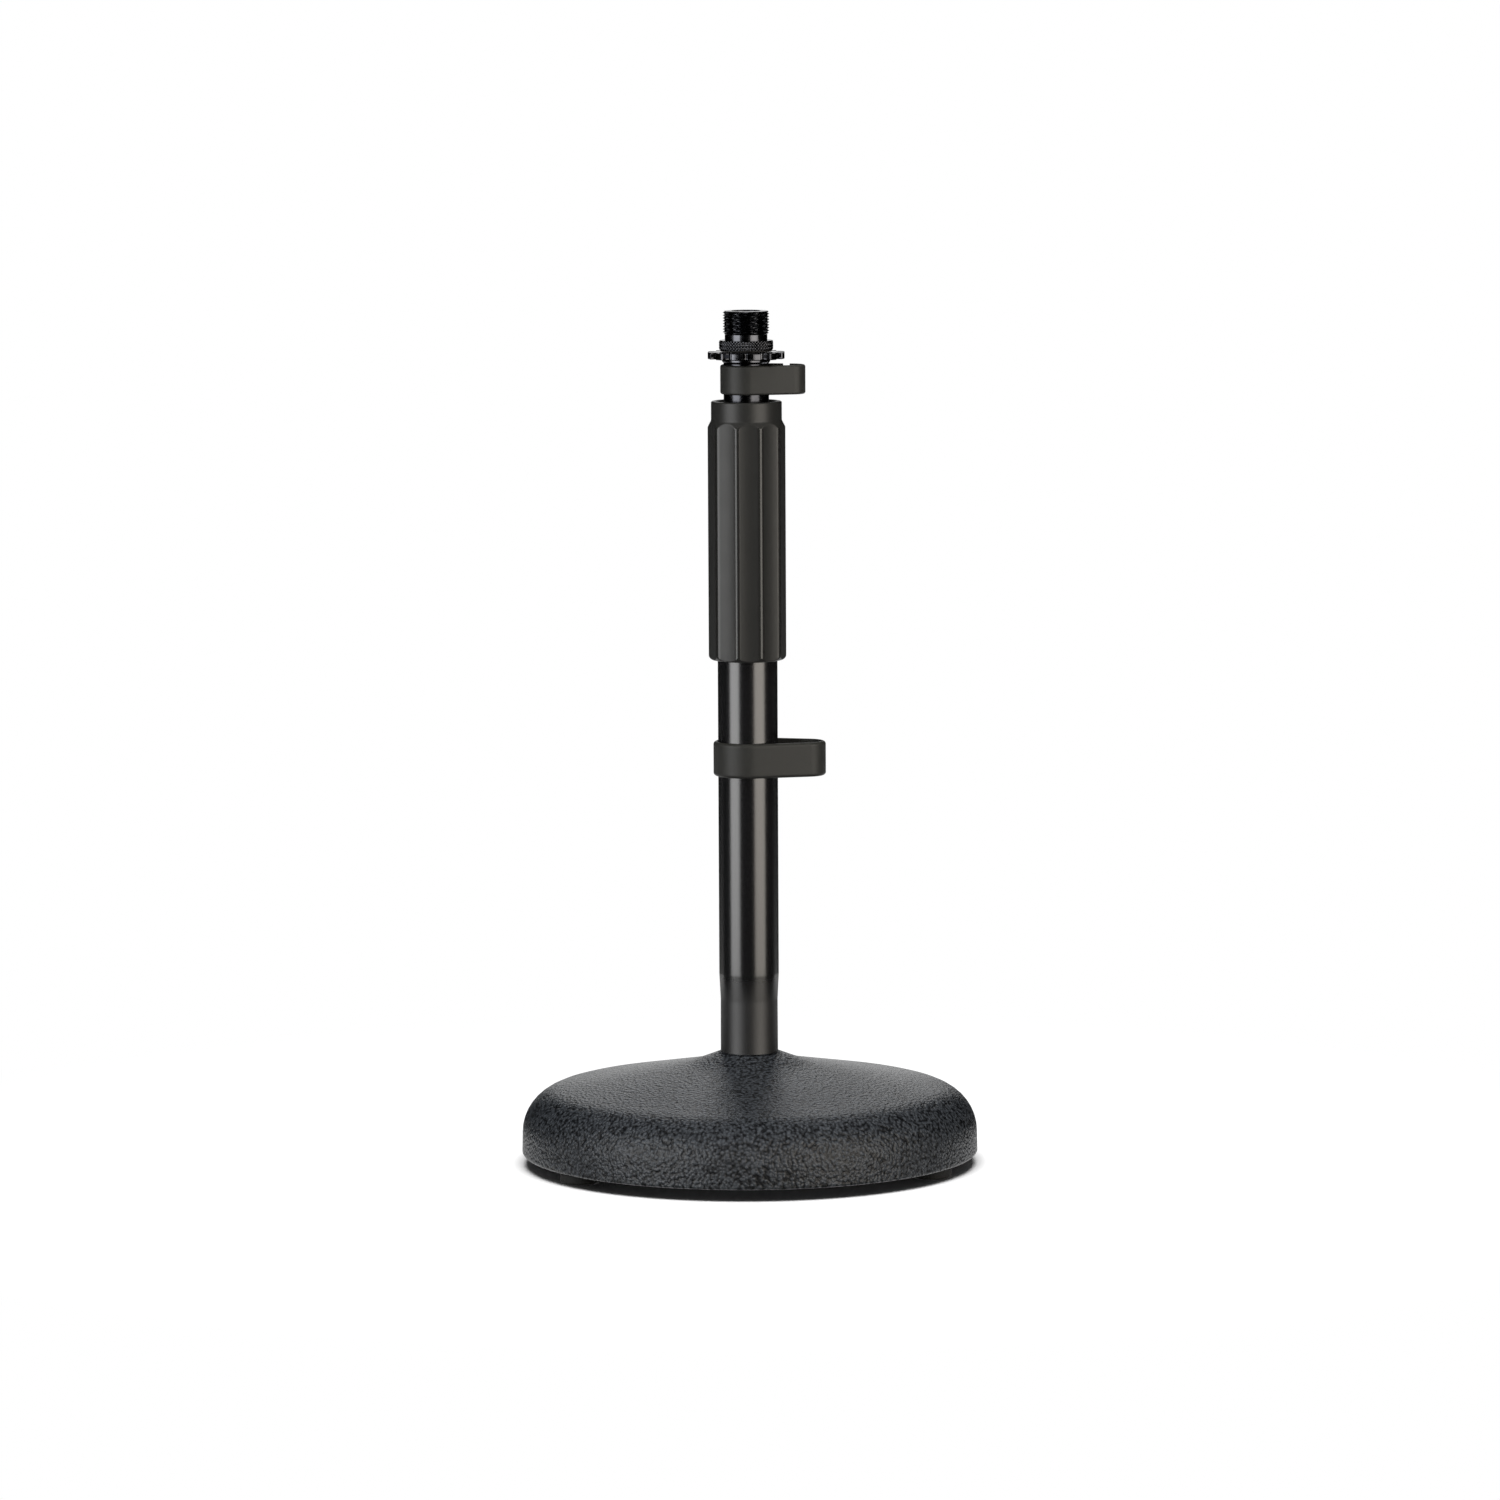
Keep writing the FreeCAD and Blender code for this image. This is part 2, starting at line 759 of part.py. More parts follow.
def make_thread_adaptor():
    """Sleeve screwed on the stud: a flange, a relief neck and a 5/8 inch outer thread."""
    flange = half("flange_dia")
    flange_top = flange_bottom + size("flange_thickness")
    neck = half("neck_dia")
    neck_top = flange_top + size("neck_length")
    thread = half("thread_dia")
    chamfer = size("thread_chamfer")
    top = neck_top + size("thread_length")
    turned("thread_adaptor", [
        (stud_bore, flange_bottom),
        (flange, flange_bottom),
        (flange, flange_top),
        (neck, flange_top),
        (neck, neck_top),
        (thread, neck_top),
        (thread, top - chamfer),
        (thread - chamfer, top),
        (stud_bore + chamfer, top),
        (stud_bore, top - chamfer),
    ])


def make_clip(label, tube_radius):
    """Cable clip: a belt-shaped band round the tube, open beside it, with a slit in its back wall."""
    wall = size(f"{label}_wall")
    level = size(f"{label}_level")
    reach = size(f"{label}_reach")
    height = size(f"{label}_height")
    inner = tube_radius + size("clip_gap")
    far_outer = half(f"{label}_end_dia")
    top = level + height
    body = new_body(label)
    outer_sketch = new_sketch(body, f"{label}_outer", "XY_Plane", level)
    draw_belt(outer_sketch, inner + wall, far_outer, reach)
    add_extrusion(body, "Pad", f"{label}_band", outer_sketch, height)
    inner_sketch = new_sketch(body, f"{label}_inner", "XY_Plane", top)
    draw_belt(inner_sketch, inner, far_outer - wall, reach)
    add_extrusion(body, "Pocket", f"{label}_loop", inner_sketch, height)
    edges = level_edges(body.Tip.Shape, level) + level_edges(body.Tip.Shape, top)
    add_fillet(body, f"{label}_rounds", edges, size("clip_round"))
    slit_sketch = new_sketch(body, f"{label}_slit_outline", "XY_Plane", top)
    near = size(f"{label}_slit_offset")
    far = near + size("clip_slit_width")
    draw_polygon(slit_sketch, [(near, wall), (far, wall), (far, inner + wall), (near, inner + wall)])
    add_extrusion(body, "Pocket", f"{label}_slit", slit_sketch, height)


# ---- build, check and write ------------------------------------------------------------------------


def check_document():
    """Stop if any object failed or any sub-part is empty or broken."""
    doc.recompute()
    for item in doc.Objects:
        if "Invalid" in item.State or "Error" in item.State:
            raise RuntimeError(f"{item.Label} failed: {item.State}")
    for part in parts:
        if part.Shape.isNull() or not part.Shape.isValid() or not part.Shape.Solids:
            raise RuntimeError(f"{part.Label} has no valid solid")


def write_parts():
    os.makedirs("parts", exist_ok=True)
    for part in parts:
        part.Shape.exportStep(f"parts/{part.Label}.step")
        print(f"{part.Label}: {len(part.Shape.Solids)} solid(s), {part.Shape.Volume:.1f} mm3")


make_base_casting()
for foot_number in range(int(size("foot_count").number)):
    make_rubber_foot(foot_number)
make_foot_screws()
make_bolt_and_washers()
make_lower_tube()
make_column_insert()
make_clutch_body()
make_collet()
make_thrust_washer()
make_clutch_nut()
make_grip_sleeve()
make_guide_bush()
make_upper_tube()
make_top_stud()
make_lock_ring()
make_head_washer()
make_thread_adaptor()
make_clip("upper_clip", upper_radius)
make_clip("lower_clip", lower_radius)
check_document()
write_parts()
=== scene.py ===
"""Looks of the desktop microphone stand.

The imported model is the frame. Every piece below is worked out in millimetres around the column's axis,
which is the frame's Z axis, and put into its mesh in metres. Levels and radii come from the boxes of the
frame's nodes.
"""

import math

import bmesh
import bpy
import numpy as np
from mathutils import Matrix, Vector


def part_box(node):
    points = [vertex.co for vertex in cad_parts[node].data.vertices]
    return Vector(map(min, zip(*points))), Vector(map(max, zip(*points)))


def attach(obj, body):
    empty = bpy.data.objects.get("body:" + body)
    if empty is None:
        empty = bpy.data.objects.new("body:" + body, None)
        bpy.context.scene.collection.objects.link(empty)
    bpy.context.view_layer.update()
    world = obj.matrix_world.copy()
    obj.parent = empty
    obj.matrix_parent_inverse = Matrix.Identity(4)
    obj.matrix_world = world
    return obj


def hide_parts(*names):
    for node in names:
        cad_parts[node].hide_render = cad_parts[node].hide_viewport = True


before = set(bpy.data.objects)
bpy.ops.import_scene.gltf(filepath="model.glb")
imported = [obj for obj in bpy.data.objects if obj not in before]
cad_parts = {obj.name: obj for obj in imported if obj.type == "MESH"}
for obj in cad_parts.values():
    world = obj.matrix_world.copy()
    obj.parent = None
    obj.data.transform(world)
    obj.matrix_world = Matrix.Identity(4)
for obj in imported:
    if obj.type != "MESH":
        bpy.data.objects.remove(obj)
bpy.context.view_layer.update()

MM = 0.001
FULL_TURN = 2 * math.pi
ARC_STEP = 9.0
MERGE_DISTANCE = 2e-7


# ---- sizes read from the frame ----------------------------------------------------------------------


def bottom(node):
    """Lowest level of a CAD node, mm."""
    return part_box(node)[0].z / MM


def top(node):
    """Highest level of a CAD node, mm."""
    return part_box(node)[1].z / MM


def radius(node):
    """Outer radius of a round CAD node on the column's axis, mm."""
    low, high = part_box(node)
    return (high.y - low.y) / 2 / MM


# ---- surfaces ---------------------------------------------------------------------------------------


def outline(corners):
    """A closed outline whose corners (across, up, radius) are rounded by arcs that touch both their sides.

    An arc's point is the centre plus a turn from one touching point to the other. Each straight run gets a
    point near both its ends, so that the shading of an arc doesn't spread over the flat beside it.
    """
    points = []
    for number, (across, up, bend) in enumerate(corners):
        here = np.array((across, up))
        back = np.array(corners[number - 1][:2]) - here
        ahead = np.array(corners[(number + 1) % len(corners)][:2]) - here
        if bend == 0:
            points.append(here[None])
            continue
        back /= np.linalg.norm(back)
        ahead /= np.linalg.norm(ahead)
        half = math.acos(float(np.clip(back @ ahead, -1, 1))) / 2
        centre = here + (back + ahead) / np.linalg.norm(back + ahead) * bend / math.sin(half)
        reach = bend / math.tan(half)
        turn = math.pi - 2 * half
        steps = max(2, math.ceil(math.degrees(turn) / ARC_STEP))
        share = np.linspace(0, 1, steps + 1)[:, None]
        first = here + back * reach - centre
        last = here + ahead * reach - centre
        arc = centre + (np.sin((1 - share) * turn) * first + np.sin(share * turn) * last) / math.sin(turn)
        guard = 0.25 * bend
        points.append(np.concatenate(((arc[0] + back * guard)[None], arc, (arc[-1] + ahead * guard)[None])))
    return np.concatenate(points)


def angles(count):
    """Evenly spaced angles of one full turn, as one row."""
    return (np.arange(count) * FULL_TURN / count)[None]


def wrap(across, angle, up):
    """A grid of points: x = across cos(angle), y = across sin(angle), z = up."""
    across, angle, up = np.broadcast_arrays(across, angle, up)
    return np.stack((across * np.cos(angle), across * np.sin(angle), up), axis=-1)


def lathe(corners, turns=144, centre=(0.0, 0.0)):
    """A surface of revolution: the rounded outline (radius, level) turned about an upright axis."""
    path = outline(corners)
    grid = wrap(path[:, :1], angles(turns), path[:, 1:])
    return grid + np.array((*centre, 0.0))


def grid_faces(grid, first, closed):
    """Four-sided faces between a grid's neighbours, joined round its columns, and its rows if closed."""
    rows, columns = grid.shape[:2]
    index = first + np.arange(rows * columns).reshape(rows, columns)
    ahead = np.roll(index, -1, axis=0)
    faces = np.stack((index, np.roll(index, -1, 1), np.roll(ahead, -1, 1), ahead), axis=-1)
    if not closed:
        faces = faces[:-1]
    return faces.reshape(-1, 4)


def outward(grid, faces):
    """The faces turned outwards: the sum over the faces of a corner's triple product is positive then."""
    points = grid.reshape(-1, 3)
    corner = points[faces - faces.min()]
    one = np.einsum("ij,ij->i", corner[:, 0], np.cross(corner[:, 1], corner[:, 2]))
    two = np.einsum("ij,ij->i", corner[:, 0], np.cross(corner[:, 2], corner[:, 3]))
    return faces if one.sum() + two.sum() > 0 else faces[:, ::-1]


def make_piece(name, body, node, material, grids, closed=True, crease=32.0):
    """One mesh object from closed grids in mm. It rides on a body and stands for a CAD node."""
    points = []
    faces = []
    first = 0
    for grid in grids:
        faces.append(outward(grid, grid_faces(grid, first, closed)))
        points.append(grid.reshape(-1, 3))
        first += len(points[-1])
    points = np.concatenate(points) * MM
    faces = np.concatenate(faces)
    mesh = bpy.data.meshes.new(name)
    mesh.vertices.add(len(points))
    mesh.vertices.foreach_set("co", points.ravel())
    mesh.loops.add(faces.size)
    mesh.loops.foreach_set("vertex_index", faces.ravel())
    mesh.polygons.add(len(faces))
    mesh.polygons.foreach_set("loop_start", np.arange(0, faces.size, 4))
    mesh.update(calc_edges=True)
    shell = bmesh.new()
    shell.from_mesh(mesh)
    bmesh.ops.remove_doubles(shell, verts=shell.verts, dist=MERGE_DISTANCE)
    bmesh.ops.dissolve_degenerate(shell, edges=shell.edges, dist=MERGE_DISTANCE)
    shell.to_mesh(mesh)
    shell.free()
    mesh.shade_smooth()
    mesh.set_sharp_from_angle(angle=math.radians(crease))
    piece = bpy.data.objects.new(name, mesh)
    bpy.context.scene.collection.objects.link(piece)
    mesh.materials.append(material)
    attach(piece, body)
    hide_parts(node)
    return piece


# ---- materials --------------------------------------------------------------------------------------


def linear(code):
    """The linear colour of an sRGB hex value such as 1c1d1f."""
    parts = [int(code[place:place + 2], 16) / 255 for place in (0, 2, 4)]
    return (*(v / 12.92 if v <= 0.04045 else ((v + 0.055) / 1.055) ** 2.4 for v in parts), 1.0)


def per_metre(size_mm):
    """A texture's scale, on coordinates in metres, for features of a size in mm."""
    return 1 / (size_mm * MM)


def add(tree, kind, inputs=(), **settings):
    """Add a node, give it its own settings, and give its inputs their values or links."""
    node = tree.nodes.new("ShaderNode" + kind)
    for key, value in settings.items():
        setattr(node, key, value)
    for socket, value in dict(inputs).items():
        if isinstance(value, bpy.types.NodeSocket):
            tree.links.new(value, node.inputs[socket])
        else:
            node.inputs[socket].default_value = value
    return node


def start_material(name):
    """A material with an empty node tree, and the output of Object coordinates in it."""
    material = bpy.data.materials.new(name)
    material.use_nodes = True
    tree = material.node_tree
    tree.nodes.clear()
    place = add(tree, "TexCoord").outputs["Object"]
    return material, tree, place


def finish_material(tree, shader):
    """Join a shader to the material's output."""
    add(tree, "OutputMaterial", {"Surface": shader.outputs[0]})


def powder_coated_iron():
    """Cast iron under a wrinkled black powder coat.

    The eye sees close-packed round grains that catch soft glints, and dark pits between them. The colour is
    painted darker in the pits, as painted shade, and paler on the highest grains, as painted glints. The real
    grains are about half a millimetre across. They are drawn about a millimetre apart, because finer ones
    don't show.
    """
    material, tree, place = start_material("powder_coated_cast_iron")
    grain = add(tree, "TexVoronoi", {"Vector": place, "Scale": per_metre(1.0), "Randomness": 1.0},
                feature="SMOOTH_F1")
    clump = add(tree, "TexNoise", {"Vector": place, "Scale": per_metre(0.9), "Detail": 3.0, "Roughness": 0.6})
    drift = add(tree, "TexNoise", {"Vector": place, "Scale": per_metre(38.0), "Detail": 2.0})
    height = add(tree, "MapRange", {"Value": grain.outputs["Distance"], "From Min": 0.0, "From Max": 0.75,
                                    "To Min": 1.0, "To Max": 0.0})
    relief = add(tree, "Math", {0: height.outputs["Result"], 1: clump.outputs["Fac"]}, operation="ADD")
    bump = add(tree, "Bump", {"Height": relief.outputs["Value"], "Strength": 1.0, "Distance": 0.3 * MM})
    # painted shade and glints: the colour follows the grain's height, darker in the pits and paler on the
    # grain tops
    share = add(tree, "Math", {0: relief.outputs["Value"], 1: 0.5}, operation="MULTIPLY")
    tone = add(tree, "ValToRGB", {"Fac": share.outputs["Value"]})
    tone.color_ramp.elements[0].position = 0.34
    tone.color_ramp.elements[0].color = linear("0b0c0e")
    tone.color_ramp.elements[1].position = 0.64
    tone.color_ramp.elements[1].color = linear("373a3e")
    rough = add(tree, "MapRange", {"Value": drift.outputs["Fac"], "From Min": 0.3, "From Max": 0.7,
                                   "To Min": 0.29, "To Max": 0.35})
    shader = add(tree, "BsdfPrincipled", {
        "Base Color": tone.outputs["Color"], "Roughness": rough.outputs["Result"], "IOR": 1.5,
        "Normal": bump.outputs["Normal"],
    })
    finish_material(tree, shader)
    return material


def enamelled_tube(swage_low, swage_high):
    """Drawn steel tube with a baked gloss black enamel.

    The eye sees deep black with two sharp-edged reflections down the tube, a very faint orange peel, and
    a duller, thinner coat on the swaged end.
    """
    material, tree, place = start_material("baked_gloss_enamel_on_steel")
    apart = add(tree, "SeparateXYZ", {"Vector": place})
    dull = add(tree, "MapRange", {"Value": apart.outputs["Z"], "From Min": swage_low * MM,
                                  "From Max": swage_high * MM, "To Min": 0.46, "To Max": 0.23})
    speck = add(tree, "TexNoise", {"Vector": place, "Scale": per_metre(0.5), "Detail": 2.0})
    uneven = add(tree, "MapRange", {"Value": speck.outputs["Fac"], "From Min": 0.3, "From Max": 0.7,
                                    "To Min": -0.02, "To Max": 0.02})
    rough = add(tree, "Math", {0: dull.outputs["Result"], 1: uneven.outputs["Result"]}, operation="ADD")
    peel = add(tree, "TexNoise", {"Vector": place, "Scale": per_metre(1.4), "Detail": 1.0})
    bump = add(tree, "Bump", {"Height": peel.outputs["Fac"], "Strength": 0.25, "Distance": 0.004 * MM})
    shader = add(tree, "BsdfPrincipled", {
        "Base Color": linear("101011"), "Roughness": rough.outputs["Value"], "IOR": 1.55,
        "Specular IOR Level": 1.0, "Normal": bump.outputs["Normal"],
    })
    finish_material(tree, shader)
    return material


def black_chromed_steel(darker, lighter):
    """Turned steel with a black chrome finish, between a darker and a lighter colour.

    The eye sees a dark mirror with narrow bright reflections, fine turning marks round the axis, and a
    trace of brighter metal where handling has polished it.
    """
    material, tree, place = start_material("black_chromed_turned_steel")
    apart = add(tree, "SeparateXYZ", {"Vector": place})
    mark = add(tree, "TexNoise", {"W": apart.outputs["Z"], "Scale": per_metre(0.12), "Detail": 1.0},
               noise_dimensions="1D")
    smudge = add(tree, "TexNoise", {"Vector": place, "Scale": per_metre(2.5), "Detail": 3.0})
    rough = add(tree, "MapRange", {"Value": smudge.outputs["Fac"], "From Min": 0.3, "From Max": 0.7,
                                   "To Min": 0.16, "To Max": 0.24})
    bump = add(tree, "Bump", {"Height": mark.outputs["Fac"], "Strength": 0.3, "Distance": 0.002 * MM})
    tone = add(tree, "MapRange", {"Value": smudge.outputs["Fac"], "From Min": 0.35, "From Max": 0.65},
               clamp=True)
    colour = add(tree, "Mix", {"Factor": tone.outputs["Result"], 6: linear(darker), 7: linear(lighter)},
                 data_type="RGBA")
    shader = add(tree, "BsdfPrincipled", {
        "Base Color": colour.outputs[2], "Metallic": 1.0, "Roughness": rough.outputs["Result"],
        "Normal": bump.outputs["Normal"],
    })
    finish_material(tree, shader)
    return material


def moulded_grip_polymer(polished_from, polished_to):
    """Black ABS moulded in a finely spark-eroded tool.

    The eye sees an even matt black with broad, soft highlights, a dust-fine sparkle, and lands that hands
    have polished: the gloss rises between the two radii.
    """
    material, tree, place = start_material("moulded_matt_abs")
    texture = add(tree, "TexNoise", {"Vector": place, "Scale": per_metre(0.22), "Detail": 2.0})
    cloud = add(tree, "TexNoise", {"Vector": place, "Scale": per_metre(9.0), "Detail": 3.0})
    apart = add(tree, "SeparateXYZ", {"Vector": place})
    flat = add(tree, "CombineXYZ", {"X": apart.outputs["X"], "Y": apart.outputs["Y"]})
    across = add(tree, "VectorMath", {0: flat.outputs[0]}, operation="LENGTH")
    worn = add(tree, "MapRange", {"Value": across.outputs["Value"], "From Min": polished_from * MM,
                                  "From Max": polished_to * MM, "To Min": 0.42, "To Max": 0.22})
    uneven = add(tree, "MapRange", {"Value": cloud.outputs["Fac"], "From Min": 0.3, "From Max": 0.7,
                                    "To Min": -0.02, "To Max": 0.02})
    rough = add(tree, "Math", {0: worn.outputs["Result"], 1: uneven.outputs["Result"]}, operation="ADD")
    bump = add(tree, "Bump", {"Height": texture.outputs["Fac"], "Strength": 0.5, "Distance": 0.02 * MM})
    colour = add(tree, "Mix", {"Factor": texture.outputs["Fac"], 6: linear("181817"), 7: linear("232321")},
                 data_type="RGBA")
    shader = add(tree, "BsdfPrincipled", {
        "Base Color": colour.outputs[2], "Roughness": rough.outputs["Value"], "IOR": 1.54,
        "Normal": bump.outputs["Normal"],
    })
    finish_material(tree, shader)
    return material


def moulded_clip_polymer():
    """Black polypropylene, moulded and slightly satin.

    The eye sees a warm, faintly olive black, smoother than the grip, with soft flow marks.
    """
    material, tree, place = start_material("moulded_satin_polypropylene")
    flow = add(tree, "TexNoise", {"Vector": place, "Scale": per_metre(2.2), "Detail": 4.0})
    fine = add(tree, "TexNoise", {"Vector": place, "Scale": per_metre(0.35), "Detail": 2.0})
    rough = add(tree, "MapRange", {"Value": flow.outputs["Fac"], "From Min": 0.3, "From Max": 0.7,
                                   "To Min": 0.46, "To Max": 0.53})
    bump = add(tree, "Bump", {"Height": fine.outputs["Fac"], "Strength": 0.4, "Distance": 0.01 * MM})
    colour = add(tree, "Mix", {"Factor": flow.outputs["Fac"], 6: linear("1e1e1c"), 7: linear("292926")},
                 data_type="RGBA")
    shader = add(tree, "BsdfPrincipled", {
        "Base Color": colour.outputs[2], "Roughness": rough.outputs["Result"], "IOR": 1.49,
        "Normal": bump.outputs["Normal"],
    })
    finish_material(tree, shader)
    return material


def moulded_rubber():
    """Black moulded nitrile rubber.

    The eye sees a dull charcoal with no clear highlight and a little pale dust in its pores.
    """
    material, tree, place = start_material("moulded_nitrile_rubber")
    pores = add(tree, "TexNoise", {"Vector": place, "Scale": per_metre(0.3), "Detail": 4.0})
    bump = add(tree, "Bump", {"Height": pores.outputs["Fac"], "Strength": 0.6, "Distance": 0.03 * MM})
    colour = add(tree, "Mix", {"Factor": pores.outputs["Fac"], 6: linear("141414"), 7: linear("242423")},
                 data_type="RGBA")
    shader = add(tree, "BsdfPrincipled", {
        "Base Color": colour.outputs[2], "Roughness": 0.78, "IOR": 1.52, "Normal": bump.outputs["Normal"],
    })
    finish_material(tree, shader)
    return material


def zinc_plated_steel():
    """Pressed steel with bright zinc plating.

    The eye sees a cool pale metal, clouded in small patches where the passivation varies.
    """
    material, tree, place = start_material("bright_zinc_plated_steel")
    cloud = add(tree, "TexNoise", {"Vector": place, "Scale": per_metre(3.0), "Detail": 4.0})
    rough = add(tree, "MapRange", {"Value": cloud.outputs["Fac"], "From Min": 0.3, "From Max": 0.7,
                                   "To Min": 0.24, "To Max": 0.40})
    bump = add(tree, "Bump", {"Height": cloud.outputs["Fac"], "Strength": 0.3, "Distance": 0.01 * MM})
    colour = add(tree, "Mix", {"Factor": cloud.outputs["Fac"], 6: linear("a9aeb6"), 7: linear("c8ccd0")},
                 data_type="RGBA")
    shader = add(tree, "BsdfPrincipled", {
        "Base Color": colour.outputs[2], "Metallic": 1.0, "Roughness": rough.outputs["Result"],
        "Normal": bump.outputs["Normal"],
    })
    finish_material(tree, shader)
    return material


def lathe_turned_steel():
    """Free-cutting steel as it comes off the lathe, lightly oiled.

    The eye sees grey metal ringed with fine tool marks about a tenth of a millimetre apart.
    """
    material, tree, place = start_material("lathe_turned_steel")
    apart = add(tree, "SeparateXYZ", {"Vector": place})
    mark = add(tree, "TexNoise", {"W": apart.outputs["Z"], "Scale": per_metre(0.1), "Detail": 2.0},
               noise_dimensions="1D")
    rough = add(tree, "MapRange", {"Value": mark.outputs["Fac"], "From Min": 0.3, "From Max": 0.7,
                                   "To Min": 0.26, "To Max": 0.38})
    bump = add(tree, "Bump", {"Height": mark.outputs["Fac"], "Strength": 0.4, "Distance": 0.006 * MM})
    colour = add(tree, "Mix", {"Factor": mark.outputs["Fac"], 6: linear("8f9194"), 7: linear("b0b2b4")},
                 data_type="RGBA")
    shader = add(tree, "BsdfPrincipled", {
        "Base Color": colour.outputs[2], "Metallic": 1.0, "Roughness": rough.outputs["Result"],
        "Normal": bump.outputs["Normal"],
    })
    finish_material(tree, shader)
    return material


def turned_nylon():
    """Natural nylon bar, turned.

    The eye sees a waxy off-white that lets a little light in, with faint tool rings.
    """
    material, tree, place = start_material("turned_natural_nylon")
    apart = add(tree, "SeparateXYZ", {"Vector": place})
    mark = add(tree, "TexNoise", {"W": apart.outputs["Z"], "Scale": per_metre(0.2), "Detail": 1.0},
               noise_dimensions="1D")
    cloud = add(tree, "TexNoise", {"Vector": place, "Scale": per_metre(4.0), "Detail": 2.0})
    bump = add(tree, "Bump", {"Height": mark.outputs["Fac"], "Strength": 0.4, "Distance": 0.01 * MM})
    colour = add(tree, "Mix", {"Factor": cloud.outputs["Fac"], 6: linear("d6d0bf"), 7: linear("e4dfd1")},
                 data_type="RGBA")
    shader = add(tree, "BsdfPrincipled", {
        "Base Color": colour.outputs[2], "Roughness": 0.46, "IOR": 1.53, "Subsurface Weight": 0.15,
        "Subsurface Radius": (1.0, 0.8, 0.6), "Subsurface Scale": 1.0 * MM, "Normal": bump.outputs["Normal"],
    })
    finish_material(tree, shader)
    return material


def vulcanised_fibre():
    """Black vulcanised fibre, punched from sheet.

    The eye sees dull, dry black with pale hair-fine fibres in the cut edge.
    """
    material, tree, place = start_material("punched_vulcanised_fibre")
    fibre = add(tree, "TexNoise", {"Vector": place, "Scale": per_metre(0.15), "Detail": 3.0,
                                   "Distortion": 1.5})
    bump = add(tree, "Bump", {"Height": fibre.outputs["Fac"], "Strength": 0.5, "Distance": 0.01 * MM})
    colour = add(tree, "Mix", {"Factor": fibre.outputs["Fac"], 6: linear("0f0f10"), 7: linear("2c2b2a")},
                 data_type="RGBA")
    shader = add(tree, "BsdfPrincipled", {
        "Base Color": colour.outputs[2], "Roughness": 0.72, "IOR": 1.5, "Normal": bump.outputs["Normal"],
    })
    finish_material(tree, shader)
    return material


# ---- base -------------------------------------------------------------------------------------------

BASE_RADIUS = radius("base_casting")
RIM_LEVEL = bottom("base_casting")
BOSS_LEVEL = top("base_casting")
SWAGE_RADIUS = 9.8
SOCKET_RADIUS = SWAGE_RADIUS + 0.1
SOCKET_FLOOR = bottom("column_insert")
SOCKET_CHAMFER = 0.8
BOSS_RADIUS = SOCKET_RADIUS + 1.1
SIDE_LEAN = 0.35
SHOULDER_LEVEL = 24.2
SHOULDER_ROUND = 15.45
FLARE_RUN = 9.4
FLARE_DROP = 3.6
FLARE_ROUND = 40.0
RIM_WALL = 9.0
CAVITY_RADIUS = BASE_RADIUS - 10.6
HUB_RADIUS = 20.0
HUB_LEVEL = 10.0
COUNTERBORE_RADIUS = 11.5
WASHER_SEAT_LEVEL = 18.0
BOLT_HOLE_RADIUS = 5.5
FOOT_PAD_RADIUS = 7.6
FOOT_PAD_HEIGHT = 11.0
FOOT_NODES = ("rubber_foot_1", "rubber_foot_2", "rubber_foot_3")
FOOT_RADIUS = 6.75
FOOT_COUNTERBORE_RADIUS = 3.9
FOOT_WEB_LEVEL = 2.4
SCREW_RADIUS = 2.0
SCREW_HEAD_RADIUS = 3.5
SCREW_PITCH = 1.0


def foot_centres():
    """The middle of each rubber foot, mm."""
    centres = []
    for node in FOOT_NODES:
        low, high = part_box(node)
        centres.append(((low.x + high.x) / 2 / MM, (low.y + high.y) / 2 / MM))
    return centres


def make_base(material):
    """The casting: one turned outline for dome, rim, hollow, hub and socket, and three turned foot pads."""
    rim = RIM_LEVEL
    pad_top = rim + FOOT_PAD_HEIGHT
    casting = lathe([
        (BOLT_HOLE_RADIUS, SOCKET_FLOOR, 0.2),
        (SOCKET_RADIUS, SOCKET_FLOOR, 0.3),
        (SOCKET_RADIUS, BOSS_LEVEL - 2.6, 0.1),
        (SOCKET_RADIUS + SOCKET_CHAMFER, BOSS_LEVEL, 0.15),
        (BOSS_RADIUS, BOSS_LEVEL, 0.12),
        (BOSS_RADIUS + FLARE_RUN, BOSS_LEVEL - FLARE_DROP, FLARE_ROUND),
        (BASE_RADIUS - SIDE_LEAN, SHOULDER_LEVEL, SHOULDER_ROUND),
        (BASE_RADIUS, rim, 1.0),
        (BASE_RADIUS - RIM_WALL, rim, 0.6),
        (CAVITY_RADIUS, 17.1, 2.0),
        (HUB_RADIUS, 26.0, 2.0),
        (HUB_RADIUS, HUB_LEVEL, 0.8),
        (COUNTERBORE_RADIUS, HUB_LEVEL, 0.4),
        (COUNTERBORE_RADIUS, WASHER_SEAT_LEVEL, 0.4),
        (BOLT_HOLE_RADIUS, WASHER_SEAT_LEVEL, 0.3),
    ], turns=288)
    pads = [lathe([
        (SCREW_RADIUS, rim, 0.2),
        (FOOT_PAD_RADIUS, rim, 0.5),
        (FOOT_PAD_RADIUS, pad_top, 0.5),
        (SCREW_RADIUS, pad_top, 0.2),
    ], turns=48, centre=centre) for centre in foot_centres()]
    make_piece("cast_base", "base", "base_casting", material, [casting, *pads])


